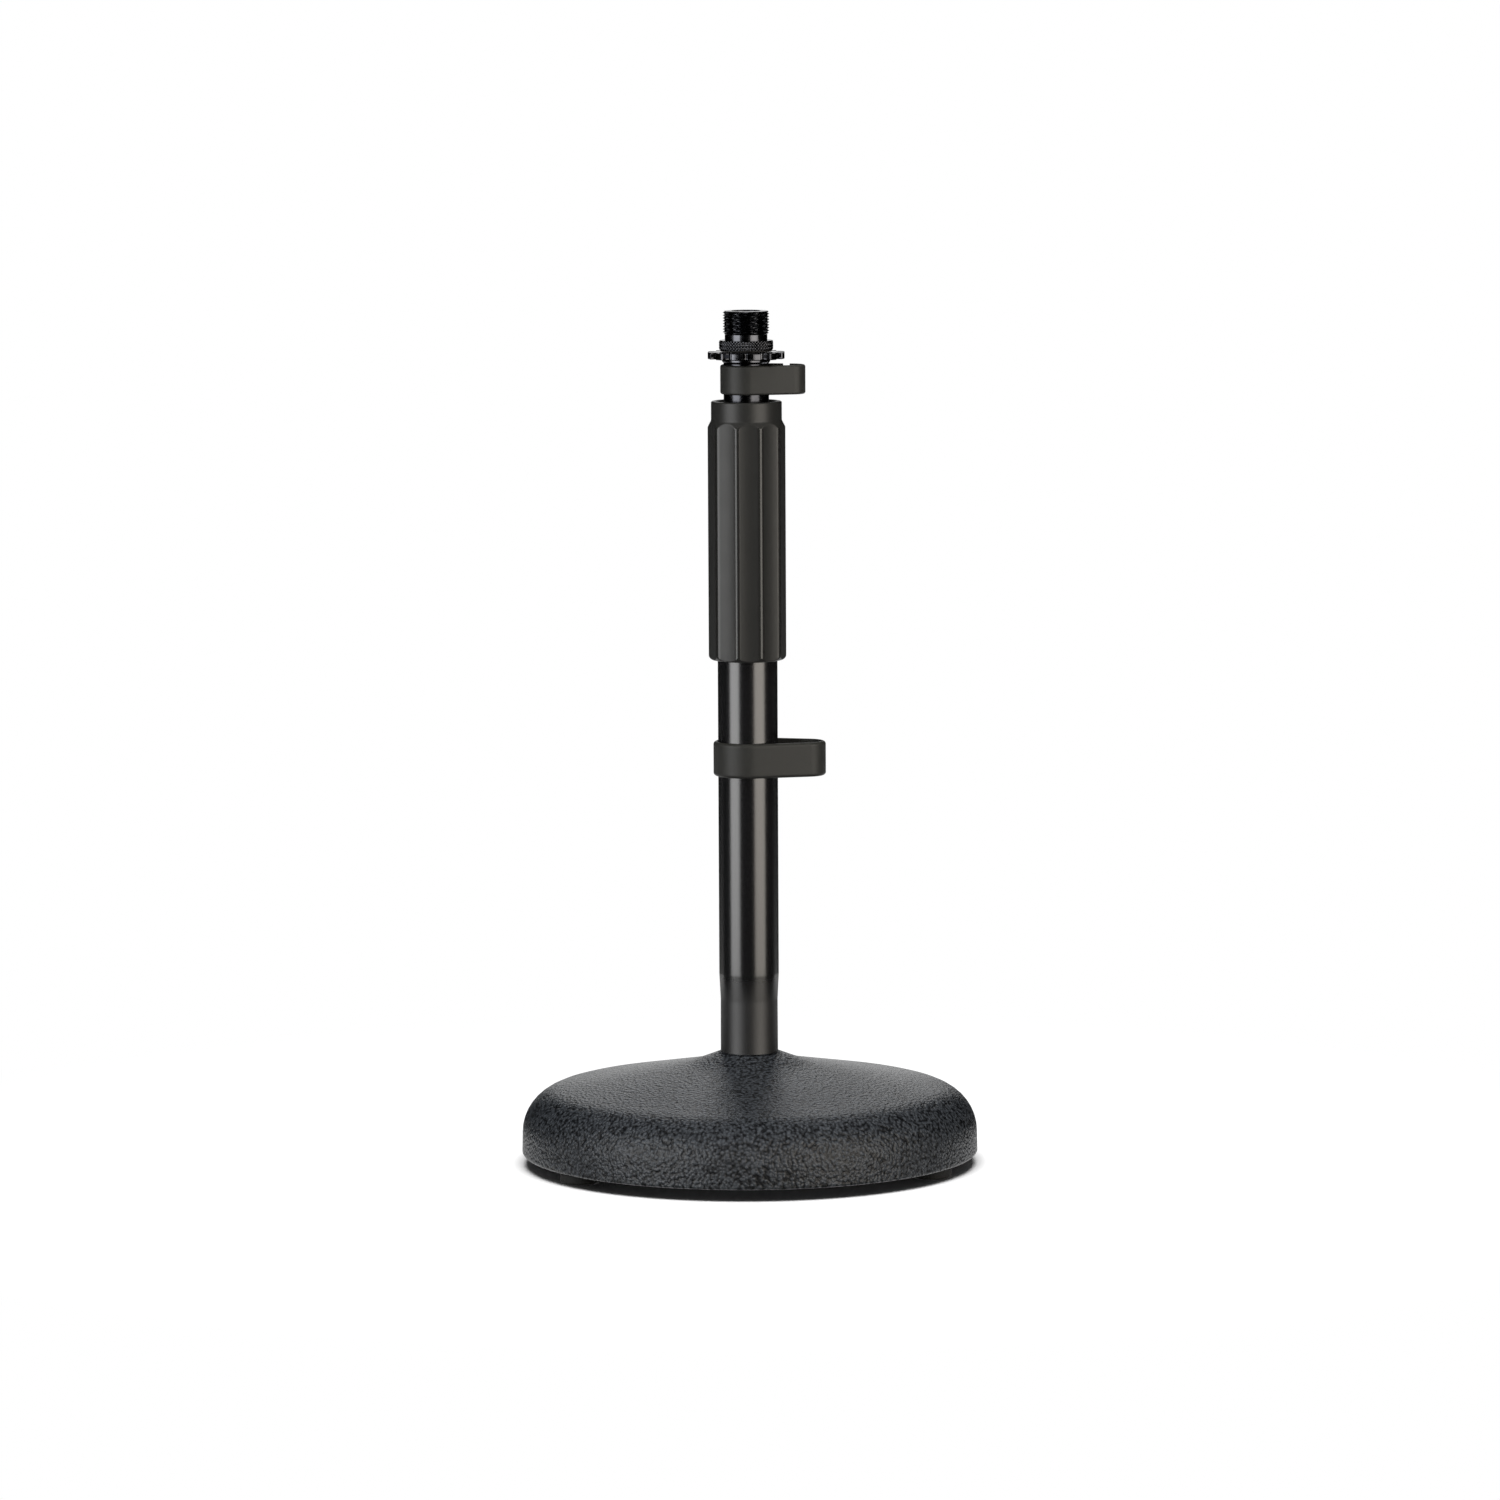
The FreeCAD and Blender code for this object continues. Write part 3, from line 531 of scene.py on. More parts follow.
def make_feet(material):
    """Rubber discs with a counterbore for the screw and a moulded lip round the lower edge."""
    for node, centre in zip(FOOT_NODES, foot_centres()):
        height = top(node)
        foot = lathe([
            (FOOT_COUNTERBORE_RADIUS, 0.0, 0.25),
            (FOOT_RADIUS, 0.0, 0.8),
            (FOOT_RADIUS, height - 0.9, 0.15),
            (FOOT_RADIUS - 0.35, height - 0.6, 0.15),
            (FOOT_RADIUS - 0.35, height, 0.15),
            (2.05, height, 0.1),
            (2.05, FOOT_WEB_LEVEL, 0.1),
            (FOOT_COUNTERBORE_RADIUS, FOOT_WEB_LEVEL, 0.2),
        ], turns=72, centre=centre)
        make_piece("moulded_" + node, "base", node, material, [foot])


def cross_recess(across, angle):
    """Depth of a cross recess: deep where |x| or |y| is under half a wing's width, within its reach."""
    half_width = 0.42
    reach = 1.95
    depth = 1.15
    x = np.abs(across * np.cos(angle))
    y = np.abs(across * np.sin(angle))
    wing = np.clip((half_width - np.minimum(x, y)) / 0.16, 0, 1)
    end = np.clip((reach - np.maximum(x, y)) / 0.5, 0, 1)
    return depth * wing * end


def make_foot_screws(material):
    """Pan-head screws: the head's crown is a shallow dome with a cross recess, and the shank is threaded."""
    grids = []
    for centre in foot_centres():
        angle = angles(96)
        crown = np.linspace(0, 1, 26)[:, None]
        across = SCREW_HEAD_RADIUS * np.sin(crown * math.pi / 2)
        dome = 0.5 + 0.75 * (1 - np.cos(crown * math.pi / 2))
        face = wrap(across, angle, dome + cross_recess(across, angle))
        side = wrap(np.array((3.5, 3.45, 3.3, 2.1, 2.0))[:, None], angle,
                    np.array((1.3, 2.35, 2.4, 2.4, 2.5))[:, None])
        level = np.arange(2.6, 12.4, 0.1)[:, None]
        thread = wrap(thread_radius(level, angle, SCREW_RADIUS, SCREW_PITCH, 2.6, 12.0, 0.35), angle, level)
        tip = wrap(np.array((1.5, 0.9, 0.0))[:, None], angle, np.array((12.6, 13.3, 13.4))[:, None])
        grids.append(np.concatenate((face, side, thread, tip)) + np.array((*centre, 0.0)))
    make_piece("cross_recess_screws", "base", "foot_screws", material, grids, closed=False)


# ---- fasteners under the base -----------------------------------------------------------------------


def thread_radius(level, angle, crest, pitch, start, end, depth):
    """Radius of a screw thread: crest minus depth times a flat-topped wave of (level / pitch - angle / turn).

    The wave is 0 on the crest's narrow flat and 1 at the root, and it fades out in one pitch at both ends.
    """
    phase = (level - start) / pitch - angle / FULL_TURN
    wave = np.abs((phase % 1.0) - 0.5) * 2
    groove = np.clip((0.93 - wave) / 0.93, 0, 1)
    fade = np.clip((level - start) / pitch, 0, 1) * np.clip((end - level) / pitch, 0, 1)
    return crest - depth * groove * fade


def make_bolt(material):
    """Hexagon bolt: the head's radius is half its width over the cosine within each flat, cut by a cone."""
    low = bottom("base_bolt")
    bearing = bottom("spring_washer")
    tip_level = top("base_bolt")
    flat = 8.5
    crest = 5.0
    pitch = 1.5
    thread_start = bearing + 4.0
    angle = angles(240)
    within = (angle + math.pi / 6) % (math.pi / 3) - math.pi / 6
    hexagon = flat / np.cos(within)
    cone = np.array((0.0, 7.6, 8.3, 8.75, 9.3, 9.9))[:, None]
    rise = np.array((0.0, 0.0, 0.2, 0.42, 0.76, 1.1))[:, None]
    face = wrap(np.minimum(cone, hexagon), angle, low + rise)
    seat = wrap(np.minimum(np.array((9.9, 8.9, 8.3))[:, None], hexagon), angle,
                np.array((bearing - 0.5, bearing - 0.12, bearing))[:, None])
    neck = wrap(np.array((crest + 0.3, crest))[:, None] + 0 * angle, angle,
                np.array((bearing, bearing + 0.3))[:, None])
    level = np.arange(thread_start, tip_level - 0.5, 0.11)[:, None]
    thread = wrap(thread_radius(level, angle, crest, pitch, thread_start, tip_level, 0.8), angle, level)
    end = wrap(np.array((4.1, 0.0))[:, None] + 0 * angle, angle, np.array((tip_level, tip_level))[:, None])
    make_piece("hexagon_bolt", "base", "base_bolt", material,
               [np.concatenate((face, seat, neck, thread, end))], closed=False, crease=24.0)


def make_spring_washer(material):
    """Split washer: a rounded section carried round all but the slit, with both ends closed to a point."""
    low = bottom("spring_washer")
    high = top("spring_washer")
    inner = 5.5
    outer = 9.0
    half_slit = 0.8
    section = outline([(inner, low, 0.2), (outer, low, 0.2), (outer, high, 0.2), (inner, high, 0.2)])
    middle = section.mean(axis=0)
    slit = math.asin(half_slit * 2 / (inner + outer))
    angle = np.linspace(slit, FULL_TURN - slit, 120)
    angle = np.concatenate((angle[:1], angle, angle[-1:]))[:, None]
    grow = np.ones_like(angle)
    grow[[0, -1]] = 0
    across = middle[0] + (section[:, 0] - middle[0]) * grow
    up = middle[1] + (section[:, 1] - middle[1]) * grow
    make_piece("split_spring_washer", "base", "spring_washer", material,
               [wrap(across, angle, up)], closed=False)


def make_flat_washer(material):
    """Pressed washer: the punched side is rounded and the other side is sharp."""
    low = bottom("flat_washer")
    high = top("flat_washer")
    disc = lathe([(5.5, low, 0.1), (10.0, low, 0.35), (10.0, high, 0.08), (5.5, high, 0.3)], turns=120)
    make_piece("pressed_flat_washer", "base", "flat_washer", material, [disc])


# ---- column -----------------------------------------------------------------------------------------

LOWER_TUBE_RADIUS = radius("lower_tube")
LOWER_TUBE_BORE = LOWER_TUBE_RADIUS - 1.2
SWAGE_TOP = 57.0
TAPER_TOP = 66.0
UPPER_TUBE_RADIUS = radius("upper_tube")


def make_lower_tube(material):
    """Drawn tube: a full-width length, a short taper and a slightly conical swaged end in the socket."""
    low = bottom("lower_tube")
    high = top("lower_tube")
    tube = lathe([
        (SWAGE_RADIUS - 1.2, low, 0.2),
        (SWAGE_RADIUS, low, 0.2),
        (SWAGE_RADIUS + 0.03, BOSS_LEVEL, 0.5),
        (SWAGE_RADIUS - 0.04, SWAGE_TOP, 5.0),
        (LOWER_TUBE_RADIUS, TAPER_TOP, 12.0),
        (LOWER_TUBE_RADIUS, high, 0.25),
        (LOWER_TUBE_BORE, high, 0.2),
        (LOWER_TUBE_BORE, TAPER_TOP, 12.0),
        (SWAGE_RADIUS - 1.2, SWAGE_TOP, 5.0),
    ], turns=192)
    make_piece("enamelled_lower_tube", "base", "lower_tube", material, [tube])


def make_upper_tube(material):
    """Drawn tube with faced ends."""
    low = bottom("upper_tube")
    high = top("upper_tube")
    bore = UPPER_TUBE_RADIUS - 1.0
    tube = lathe([
        (bore, low, 0.2),
        (UPPER_TUBE_RADIUS, low, 0.3),
        (UPPER_TUBE_RADIUS, high, 0.15),
        (bore, high, 0.1),
    ], turns=160)
    make_piece("chromed_upper_tube", "mast", "upper_tube", material, [tube])


# ---- twist grip -------------------------------------------------------------------------------------

FLUTES = 10
FLUTE_BEARING = math.radians(21.4)
FLUTE_RADIUS = 21.3
FLUTE_DEPTH = 0.87
LAND_RADIUS = 13.27
LAND_ROUNDING = 0.9
COLLAR_RADIUS = 12.05
COLLAR_HEIGHT = 6.5
FLARE_HEIGHT = 2.5


def soft_least(one, other, blend):
    """The smaller of two arrays, rounded where they cross: blend is the width of the rounding."""
    share = np.clip(0.5 + 0.5 * (other - one) / blend, 0, 1)
    return other * (1 - share) + one * share - blend * share * (1 - share)


def flute_radius(angle):
    """Distance from the axis to the flutes: the near side of a circle that stands beside the grip.

    It is the lesser of the nearest circle and the next one, rounded where they meet in a land.
    """
    reach = LAND_RADIUS - FLUTE_DEPTH + FLUTE_RADIUS
    pitch = FULL_TURN / FLUTES
    nearest = np.abs((angle - FLUTE_BEARING + pitch / 2) % pitch - pitch / 2)
    sides = []
    for within in (nearest, pitch - nearest):
        sides.append(reach * np.cos(within) - np.sqrt(FLUTE_RADIUS ** 2 - (reach * np.sin(within)) ** 2))
    return soft_least(*sides, LAND_ROUNDING)


def make_grip(material):
    """Fluted sleeve: its radius is the lesser of a turned outline and the flutes, rounded where they meet."""
    low = bottom("grip_sleeve")
    high = top("grip_sleeve")
    collar_low = high - COLLAR_HEIGHT
    flare_low = collar_low - FLARE_HEIGHT
    land = LAND_RADIUS + 0.08
    skin = outline([
        (10.525, low, 0.3),
        (land, low, 1.9),
        (land, flare_low, 1.6),
        (COLLAR_RADIUS, collar_low, 1.6),
        (COLLAR_RADIUS, high, 0.55),
        (10.5, high, 0.5),
        (8.05, high - 1.8, 0.3),
        (8.05, 255.2, 0.2),
        (10.92, 255.2, 0.2),
        (10.92, 234.0, 0.2),
        (10.525, 234.0, 0.1),
    ])
    # more rows where the flutes' arched tops cross the flare, and over the rounded foot
    path = [skin[:1]]
    for start, end in zip(skin[:-1], skin[1:]):
        length = float(np.linalg.norm(end - start))
        steps = 1 if min(start[0], end[0]) < 11.0 else math.ceil(min(length / 0.3, 14))
        share = np.linspace(0, 1, steps + 1)[1:, None]
        path.append(start + (end - start) * share)
    path = np.concatenate(path)
    pitch = FULL_TURN / FLUTES
    share = np.linspace(-1, 1, 43)[:-1]
    # columns crowd towards the lands, where the surface bends most
    within = (share + 0.12 * np.sin(share * math.pi)) * pitch / 2
    angle = (within[None] + pitch * np.arange(FLUTES)[:, None] + FLUTE_BEARING).reshape(1, -1)
    across = path[:, :1]
    up = path[:, 1:]
    rise = np.clip((up - flare_low) / FLARE_HEIGHT, 0, 1)
    outside = (across > 11.0) & (up < high - 1.0)
    fluted = soft_least(across + 0 * angle, flute_radius(angle) + 0 * across, 0.15 - 0.1 * rise)
    grid = wrap(np.where(outside, fluted, across), angle, up)
    make_piece("fluted_grip_sleeve", "grip", "grip_sleeve", material, [grid], crease=40.0)


# ---- cable clips ------------------------------------------------------------------------------------


def belt_path(big, small, reach, slit_low, slit_high):
    """An open path round two circles, as a belt lies on two pulleys, from one side of the slit to the other.

    It runs along the back tangent to the big circle, round that, along the front tangent, round the small
    circle and back to the slit. Gives the points and the outward directions.
    """
    lean = math.acos((big - small) / reach)
    near = np.linspace(lean, FULL_TURN - lean, 72)
    far = np.linspace(-lean, lean, 40)
    slope = np.array((math.cos(lean), math.sin(lean)))
    along = np.array((math.sin(lean), -math.cos(lean)))
    touch_near = big * slope
    touch_far = np.array((reach, 0.0)) + small * slope
    runs = [
        touch_near + along * ((slit_low - touch_near[0]) / along[0]) * np.linspace(1, 0, 6)[:-1, None],
        big * np.stack((np.cos(near), np.sin(near)), axis=1),
        np.array((reach, 0.0)) + small * np.stack((np.cos(far), np.sin(far)), axis=1),
        touch_far + along * ((slit_high - touch_far[0]) / along[0]) * np.linspace(0, 1, 4)[1:, None],
    ]
    ways = [
        np.tile(slope, (5, 1)),
        np.stack((np.cos(near), np.sin(near)), axis=1),
        np.stack((np.cos(far), np.sin(far)), axis=1),
        np.tile(slope, (3, 1)),
    ]
    return np.concatenate(runs), np.concatenate(ways)


def clip_grid(node, inner, wall, end_radius, reach, slit_low, slit_high, edge, lip):
    """A rounded section carried along the belt path: path point plus outward direction times depth."""
    low = bottom(node)
    high = top(node)
    points, ways = belt_path(inner, end_radius - wall, reach, slit_low, slit_high)
    section = outline([(0.0, low, lip), (wall, low, edge), (wall, high, edge), (0.0, high, lip)])
    middle = np.array((wall / 2, (low + high) / 2))
    # both ends get a rounded edge and close to a point
    order = np.concatenate(([0, 0, 0], np.arange(len(points)), [-1, -1, -1]))
    shrink = np.ones(len(order))
    shrink[[0, -1]] = 0
    shrink[[1, -2]] = 0.84
    depth = middle[0] + (section[:, 0] - middle[0]) * shrink[:, None]
    height = (high - low) / 2
    margin = np.where(shrink == 0, height, np.where(shrink < 1, 0.1, 0.0))
    level = np.clip(section[:, 1], low + margin[:, None], high - margin[:, None])
    spot = points[order][:, None, :] + ways[order][:, None, :] * depth[..., None]
    return np.concatenate((spot, level[..., None]), axis=-1)


def make_clips(material):
    """Two belt-shaped cable clips, each open at a slit behind its loop."""
    upper = clip_grid("upper_clip", 7.83, 1.02, 5.3, 14.8, 12.4, 14.8, 0.75, 0.15)
    make_piece("moulded_upper_clip", "upper_clip", "upper_clip", material, [upper],
               closed=False)
    lower = clip_grid("lower_clip", 10.305, 1.5, 7.0, 19.6, 7.4, 9.8, 1.1, 0.25)
    make_piece("moulded_lower_clip", "lower_clip", "lower_clip", material, [lower],
               closed=False)


# ---- head -------------------------------------------------------------------------------------------

STUD_RADIUS = 9.525 / 2
STUD_BORE = 4.8125
STUD_PITCH = 25.4 / 16
ADAPTOR_PITCH = 25.4 / 27
RING_NOTCHES = 12
OUTSIDE = 20.0


def make_stud(material):
    """Plug, shoulder and 3/8 inch stud: a turned outline whose upper length is a helical thread."""
    low = bottom("top_stud")
    high = top("top_stud")
    seat = top("upper_tube")
    shoulder = seat + 1.4
    angle = angles(160)
    lower = outline([
        (0.0, low, 0),
        (6.73, low, 0.4),
        (6.73, seat, 0.05),
        (UPPER_TUBE_RADIUS, seat, 0.05),
        (8.2, seat + 0.6, 0.15),
        (8.2, shoulder, 0.2),
        (4.6, shoulder, 0.1),
        (0.0, shoulder, 0),
    ])[:-1]
    level = np.arange(shoulder + 0.2, high, 0.1)[:, None]
    tip = np.minimum(STUD_RADIUS, STUD_RADIUS - 0.8 + (high - level))
    start = shoulder + 0.2
    thread = thread_radius(level, angle, STUD_RADIUS, STUD_PITCH, start, high + STUD_PITCH, 0.95)
    thread = np.minimum(thread, tip)
    end = wrap(np.array((3.9, 0.0))[:, None] + 0 * angle, angle, np.array((high, high))[:, None])
    grid = np.concatenate((
        wrap(lower[:, :1], angle, lower[:, 1:]),
        wrap(thread, angle, level),
        end,
    ))
    make_piece("threaded_top_stud", "mast", "top_stud", material, [grid], closed=False)


def bore_outline(low, low_bend, high, high_bend):
    """The outline of a stud hole from its high end to its low one, rounded at both ends."""
    return outline([
        (OUTSIDE, low, 0),
        (STUD_BORE, low, low_bend),
        (STUD_BORE, high, high_bend),
        (OUTSIDE, high, 0),
    ])[1:-1][::-1]


def ring_edge():
    """The lock ring's edge: teeth on the outer circle, and between them notches.

    In a notch the angle is its half-width times sin(s), and the radius is the outer one less its depth times
    cos(s). A tooth is an arc whose last eighths fall off as a quarter circle does.
    """
    outer = radius("lock_ring")
    notch_half = math.radians(7.6)
    pitch = FULL_TURN / RING_NOTCHES
    swing = np.linspace(-math.pi / 2, math.pi / 2, 19)
    share = np.linspace(0, 1, 17)[1:-1]
    corner = np.clip((np.abs(share - 0.5) * 2 - 0.76) / 0.24, 0, 1)
    fall = 0.32
    tooth = outer - fall * (1 - np.sqrt(1 - corner ** 2))
    notch = outer - fall - (3.0 - fall) * np.cos(swing)
    angle = np.concatenate((notch_half * np.sin(swing), notch_half + share * (pitch - 2 * notch_half)))
    across = np.concatenate((notch, tooth))
    angle = (angle[None] + pitch * np.arange(RING_NOTCHES)[:, None]).ravel()
    return np.tile(across, RING_NOTCHES), angle


def make_lock_ring(material):
    """Toothed ring: its edge moves in along its normal where a quarter turn rounds it above and below."""
    low = bottom("lock_ring")
    high = top("lock_ring")
    across, angle = ring_edge()
    edge = np.stack((across * np.cos(angle), across * np.sin(angle)), axis=1)
    along = np.roll(edge, -1, axis=0) - np.roll(edge, 1, axis=0)
    way = np.stack((along[:, 1], -along[:, 0]), axis=1) / np.linalg.norm(along, axis=1)[:, None]
    bend = 0.3
    turn = np.linspace(0, math.pi / 2, 6)
    inset = bend * (1 - np.sin(turn))
    rise = bend * (1 - np.cos(turn))
    insets = np.concatenate((inset, inset[::-1]))[:, None, None]
    levels = np.concatenate((low + rise, high - rise[::-1]))[:, None, None]
    outside = edge[None] - way[None] * insets
    outside = np.concatenate((outside, np.broadcast_to(levels, (*outside.shape[:2], 1))), axis=-1)
    bore = bore_outline(low, 0.3, high, 0.3)
    inside = wrap(bore[:, :1], angle[None], bore[:, 1:])
    make_piece("toothed_lock_ring", "lock_ring", "lock_ring", material,
               [np.concatenate((outside, inside))])


def make_head_washer(material):
    """Thin punched washer under the adaptor's flange."""
    low = bottom("head_washer")
    high = top("head_washer")
    outer = 8.85
    disc = lathe([
        (STUD_BORE, low, 0.05),
        (outer, low, 0.12),
        (outer, high, 0.12),
        (STUD_BORE, high, 0.05),
    ], turns=120)
    make_piece("punched_head_washer", "head_washer", "head_washer", material, [disc])


def make_adaptor(material):
    """Knurled flange and threaded barrel.

    The flange's radius is the outer one less the knurl's depth times the larger of two crossing triangle
    waves. The barrel's radius is the lesser of its helical thread and a turned outline.
    """
    low = bottom("thread_adaptor")
    high = top("thread_adaptor")
    outer = radius("thread_adaptor")
    flange_top = low + 3.3
    teeth = 52
    lead = FULL_TURN * outer / teeth
    angle = angles(teeth * 8)
    level = np.linspace(low, flange_top, 34)[:, None]
    edge = 0.42
    chamfer = np.clip(edge - np.minimum(level - low, flange_top - level), 0, edge)
    turn = teeth * angle / FULL_TURN
    climb = level / lead
    groove = np.maximum(np.abs((turn + climb) % 1.0 - 0.5), np.abs((turn - climb) % 1.0 - 0.5)) * 2
    knurled = np.minimum(outer - 0.38 * np.clip(groove - 0.12, 0, 1), outer - chamfer * 0.8)
    skin = wrap(knurled, angle, level + 0 * angle)
    bore = bore_outline(low, 0.4, flange_top, 0.02)
    flange = np.concatenate((skin, wrap(bore[:, :1], angle, bore[:, 1:])))

    crest = 7.925
    neck = 7.25
    neck_top = flange_top + 2.0
    angle = angles(176)
    lower = outline([
        (STUD_BORE, low + 1.0, 0.1),
        (neck, low + 1.0, 0.1),
        (neck, neck_top, 0.1),
        (4.0, neck_top, 0),
    ])
    lower = lower[lower[:, 1] < neck_top - 0.01]
    lower = np.concatenate((lower, [(neck, neck_top - 0.1), (neck, neck_top)]))
    level = np.arange(neck_top, high + 0.01, 0.075)[:, None]
    start = np.minimum(neck + (level - neck_top) * 1.2, crest)
    tip = np.minimum(crest, crest - 0.55 + (high - level) * 1.1)
    helix = thread_radius(level, angle, crest, ADAPTOR_PITCH, neck_top - 0.6, high + 2.0, 0.64)
    thread = np.minimum(np.minimum(helix, start), tip)
    upper = outline([
        (OUTSIDE, high, 0),
        (STUD_BORE, high, 0.45),
        (STUD_BORE, high - 3.0, 0.02),
        (OUTSIDE, high - 3.0, 0),
    ])
    upper = upper[upper[:, 0] < OUTSIDE / 2]
    barrel = np.concatenate((
        wrap(lower[:, :1], angle, lower[:, 1:]),
        wrap(thread, angle, level),
        wrap(upper[:, :1], angle, upper[:, 1:]),
    ))
    make_piece("knurled_thread_adaptor", "adaptor", "thread_adaptor", material,
               [flange, barrel], crease=40.0)


# ---- the pieces, and materials for the nodes that keep their shape ----------------------------------

iron = powder_coated_iron()
enamel = enamelled_tube(SWAGE_TOP, TAPER_TOP)
chrome = black_chromed_steel("4d4e52", "5c5d61")
drawn_chrome = black_chromed_steel("404145", "4d4e52")
grip_polymer = moulded_grip_polymer(LAND_RADIUS - 0.45, LAND_RADIUS - 0.15)
clip_polymer = moulded_clip_polymer()
rubber = moulded_rubber()
zinc = zinc_plated_steel()
turned = lathe_turned_steel()
nylon = turned_nylon()
fibre = vulcanised_fibre()

make_base(iron)
make_feet(rubber)
make_foot_screws(zinc)
make_bolt(zinc)
make_spring_washer(zinc)
make_flat_washer(zinc)
make_lower_tube(enamel)
make_upper_tube(drawn_chrome)
make_grip(grip_polymer)
make_clips(clip_polymer)
make_stud(chrome)
make_lock_ring(chrome)
make_head_washer(fibre)
make_adaptor(chrome)

KEPT_NODES = {
    "column_insert": zinc,
    "clutch_body": turned,
    "thrust_washer": turned,
    "clutch_nut": turned,
    "collet": nylon,
    "guide_bush": nylon,
}
for node, material in KEPT_NODES.items():
    for material_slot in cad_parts[node].material_slots:
        material_slot.material = material


# ---- floor, lights and camera -----------------------------------------------------------------------


def make_floor():
    """A white floor that keeps the stand's shadow and runs out into plain white away from it."""
    mesh = bpy.data.meshes.new("floor")
    side = 6.0
    corners = [(-side, -side, 0), (side, -side, 0), (side, side, 0), (-side, side, 0)]
    mesh.from_pydata(corners, [], [(0, 1, 2, 3)])
    floor = bpy.data.objects.new("floor", mesh)
    bpy.context.scene.collection.objects.link(floor)
    material, tree, place = start_material("white_paper_floor")
    distance = add(tree, "VectorMath", {0: place}, operation="LENGTH")
    far = add(tree, "MapRange", {"Value": distance.outputs["Value"], "From Min": 0.14, "From Max": 0.34},
              interpolation_type="SMOOTHSTEP")
    ray = add(tree, "LightPath")
    seen = add(tree, "Math", {0: far.outputs["Result"], 1: ray.outputs["Is Camera Ray"]},
               operation="MULTIPLY")
    paper = add(tree, "BsdfDiffuse", {"Color": linear("f4f4f4")})
    plain = add(tree, "Emission", {"Color": linear("ffffff"), "Strength": 1.0})
    mixed = add(tree, "MixShader", {0: seen.outputs["Value"], 1: paper.outputs[0], 2: plain.outputs[0]})
    finish_material(tree, mixed)
    mesh.materials.append(material)
    floor.visible_glossy = False
    return floor


def make_flag():
    """Black studio flags that only reflections see: a cylinder with an opening, a lid and a bottom.

    The cylinder's angle runs from one side of the opening at the back to the other, the lid is a ring at its
    top and the bottom is a disc. Towards the back its hem is raised, so that white shows under it.
    """
    away = 2.7
    opening = 10
    high = 3.5
    hole = 0.3
    bearing = np.linspace(-180 + opening, 180 - opening, 97)
    angle = np.radians(bearing - 90)
    low = -2.5
    hem = np.where(np.abs(bearing) > 115, -0.4, low)
    across = np.array((0.0, away, away, away, hole))[:, None]
    level = np.stack((0 * hem + low, 0 * hem + low, hem, 0 * hem + high, 0 * hem + high))
    points = wrap(across, angle[None], level)
    count = len(angle)
    index = np.arange(count - 1)
    row = np.stack((index, index + 1, index + 1 + count, index + count), axis=1)
    faces = np.concatenate((row, row + 2 * count, row + 3 * count))
    mesh = bpy.data.meshes.new("black_flag")
    mesh.from_pydata(points.reshape(-1, 3).tolist(), [], faces.tolist())
    flag = bpy.data.objects.new("black_flag", mesh)
    bpy.context.scene.collection.objects.link(flag)
    material, tree, _ = start_material("black_velvet_flag")
    finish_material(tree, add(tree, "BsdfDiffuse", {"Color": linear("060606")}))
    mesh.materials.append(material)
    flag.visible_camera = False
    flag.visible_diffuse = False
    flag.visible_transmission = False
    flag.visible_shadow = False


def make_world():
    """White for the camera and for reflections, and a low even fill for everything else."""
    world = bpy.data.worlds.new("studio")
    world.use_nodes = True
    tree = world.node_tree
    tree.nodes.clear()
    ray = add(tree, "LightPath")
    shiny = add(tree, "Math", {0: ray.outputs["Is Glossy Ray"], 1: ray.outputs["Is Transmission Ray"]},
                operation="MAXIMUM")
    white = add(tree, "Math", {0: shiny.outputs["Value"], 1: ray.outputs["Is Camera Ray"]},
                operation="MAXIMUM")
    strength = add(tree, "MapRange", {"Value": white.outputs["Value"], "To Min": 0.07, "To Max": 1.0})
    background = add(tree, "Background", {"Color": linear("ffffff"), "Strength": strength.outputs["Result"]})
    add(tree, "OutputWorld", {"Surface": background.outputs[0]})
    bpy.context.scene.world = world


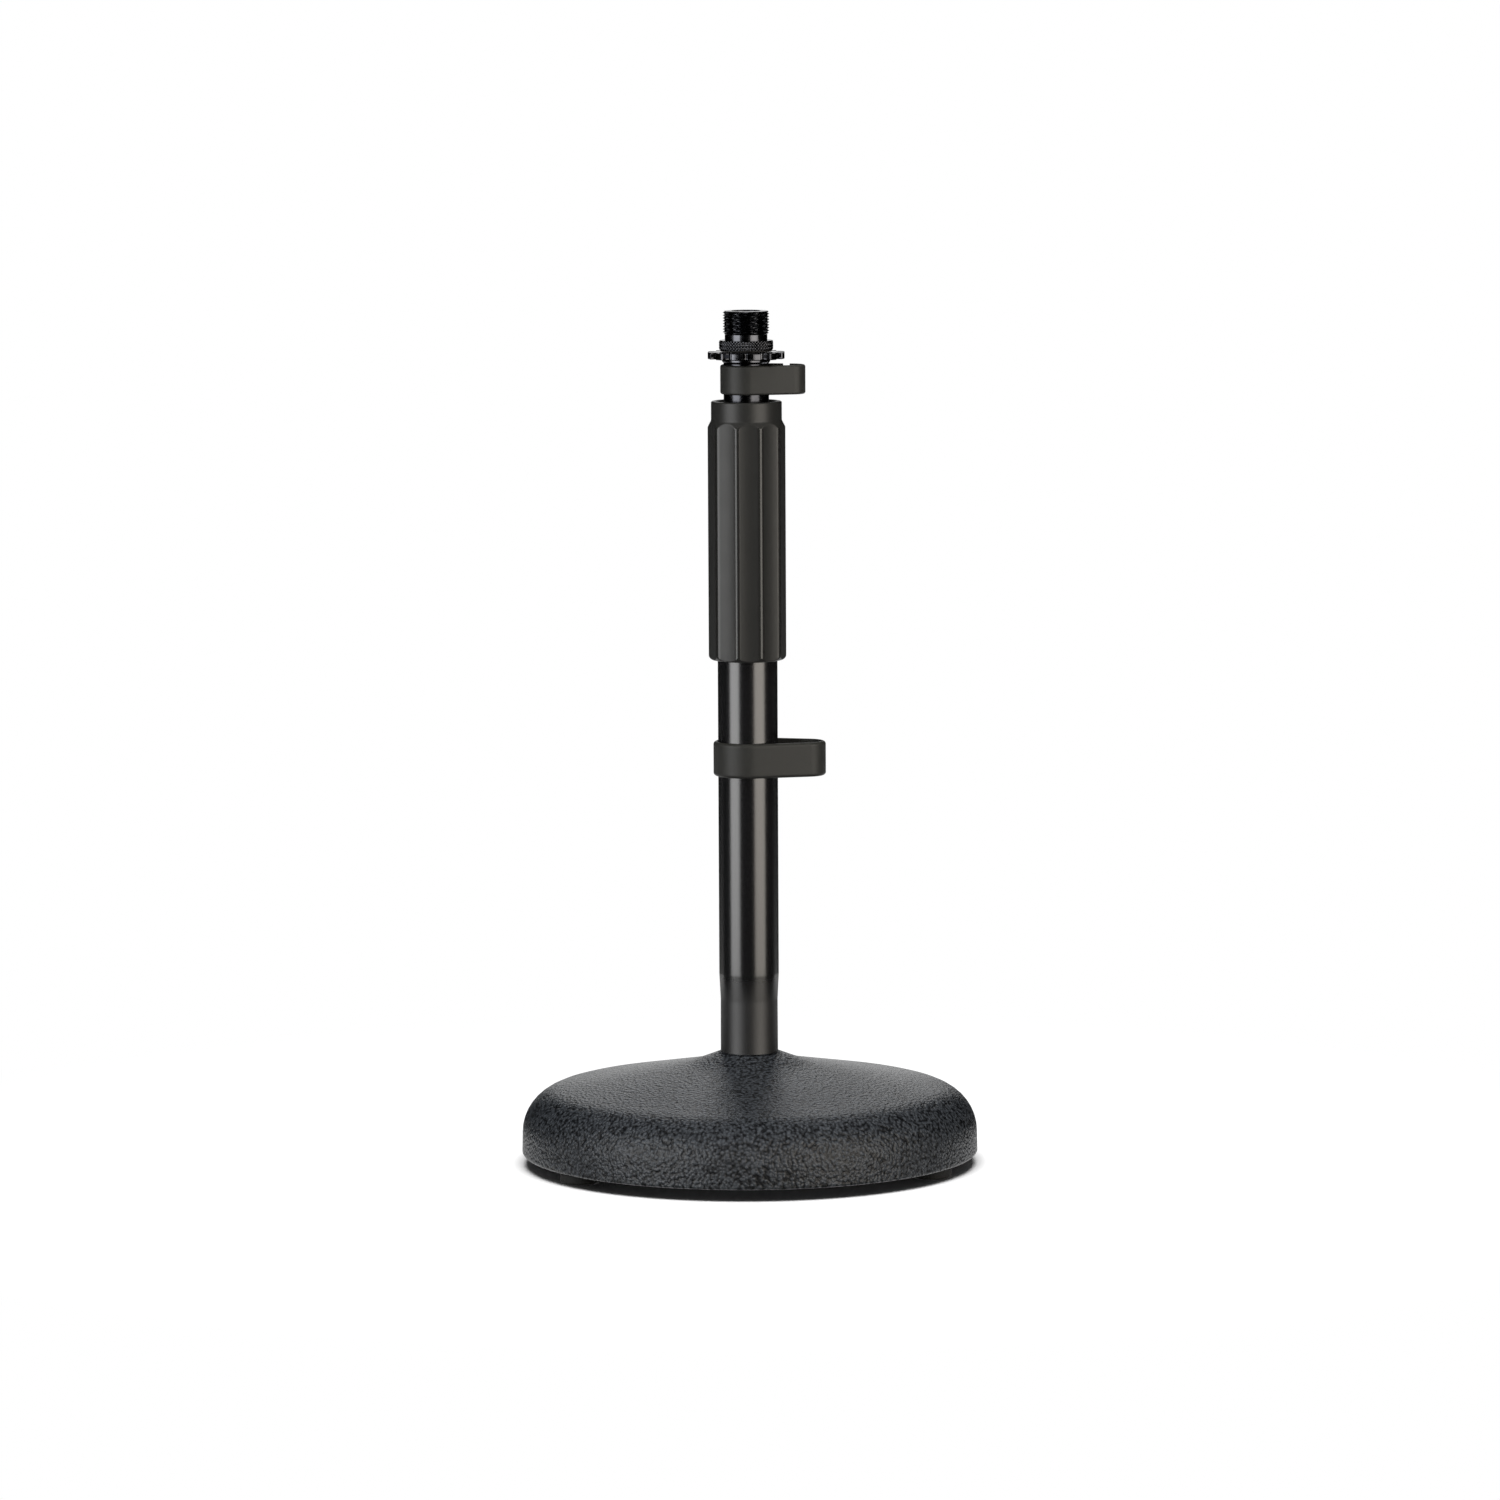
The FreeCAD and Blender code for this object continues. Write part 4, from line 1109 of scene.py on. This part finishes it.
def add_softbox(name, place, aim, width, height, radiance, colour, skip=None):
    """A rectangular light that faces the point it is aimed at. Its power is pi times area times radiance."""
    light = bpy.data.lights.new(name, "AREA")
    light.shape = "RECTANGLE"
    light.size = width
    light.size_y = height
    light.energy = math.pi * width * height * radiance
    light.color = linear(colour)[:3]
    lamp = bpy.data.objects.new(name, light)
    bpy.context.scene.collection.objects.link(lamp)
    way = np.array(aim, float) - np.array(place, float)
    back = -way / np.linalg.norm(way)
    upright = np.array((0.0, 0.0, 1.0)) if abs(back[2]) < 0.95 else np.array((0.0, 1.0, 0.0))
    side = np.cross(upright, back)
    side /= np.linalg.norm(side)
    turn = Matrix((side, np.cross(back, side), back)).transposed().to_4x4()
    lamp.matrix_world = Matrix.Translation(place) @ turn
    lamp.visible_camera = False
    if skip is not None:
        group = bpy.data.collections.new(name + "_skips")
        group.objects.link(skip)
        lamp.light_linking.receiver_collection = group
        group.collection_objects[0].light_linking.link_state = "EXCLUDE"
    return lamp


def side_box(name, bearing, width, radiance, colour, floor):
    """A tall softbox at a bearing from the camera's side, which stays off the floor."""
    away = 1.3
    turn = math.radians(bearing)
    middle = 0.42
    height = 1.18
    place = (away * math.sin(turn), -away * math.cos(turn), middle)
    add_softbox(name, place, (0, 0, middle), width, height, radiance, colour, skip=floor)


def make_camera():
    """A long lens a little above the stand, tipped down at it and turned a hair about its own axis."""
    data = bpy.data.cameras.new("camera")
    data.lens = 176.7
    data.sensor_width = 36.0
    camera = bpy.data.objects.new("camera", data)
    tip = Matrix.Rotation(math.radians(83.402), 4, "X")
    roll = Matrix.Rotation(math.radians(-0.27), 4, "Z")
    camera.matrix_world = Matrix.Translation((0.00068, -2.5, 0.432)) @ tip @ roll
    bpy.context.scene.collection.objects.link(camera)
    bpy.context.scene.camera = camera


floor = make_floor()
make_flag()
make_world()
side_box("left_softbox", -53.0, 0.9, 3.35, "ffffff", floor)
side_box("right_softbox", 45.5, 1.0, 3.0, "fff8ee", floor)
overhead = add_softbox("overhead_softbox", (0.0, -0.3, 1.7), (0, 0, 0), 1.3, 1.3, 9.0, "ffffff")
overhead.visible_glossy = False
make_camera()
bpy.context.scene.view_settings.view_transform = "Standard"

bpy.context.view_layer.update()
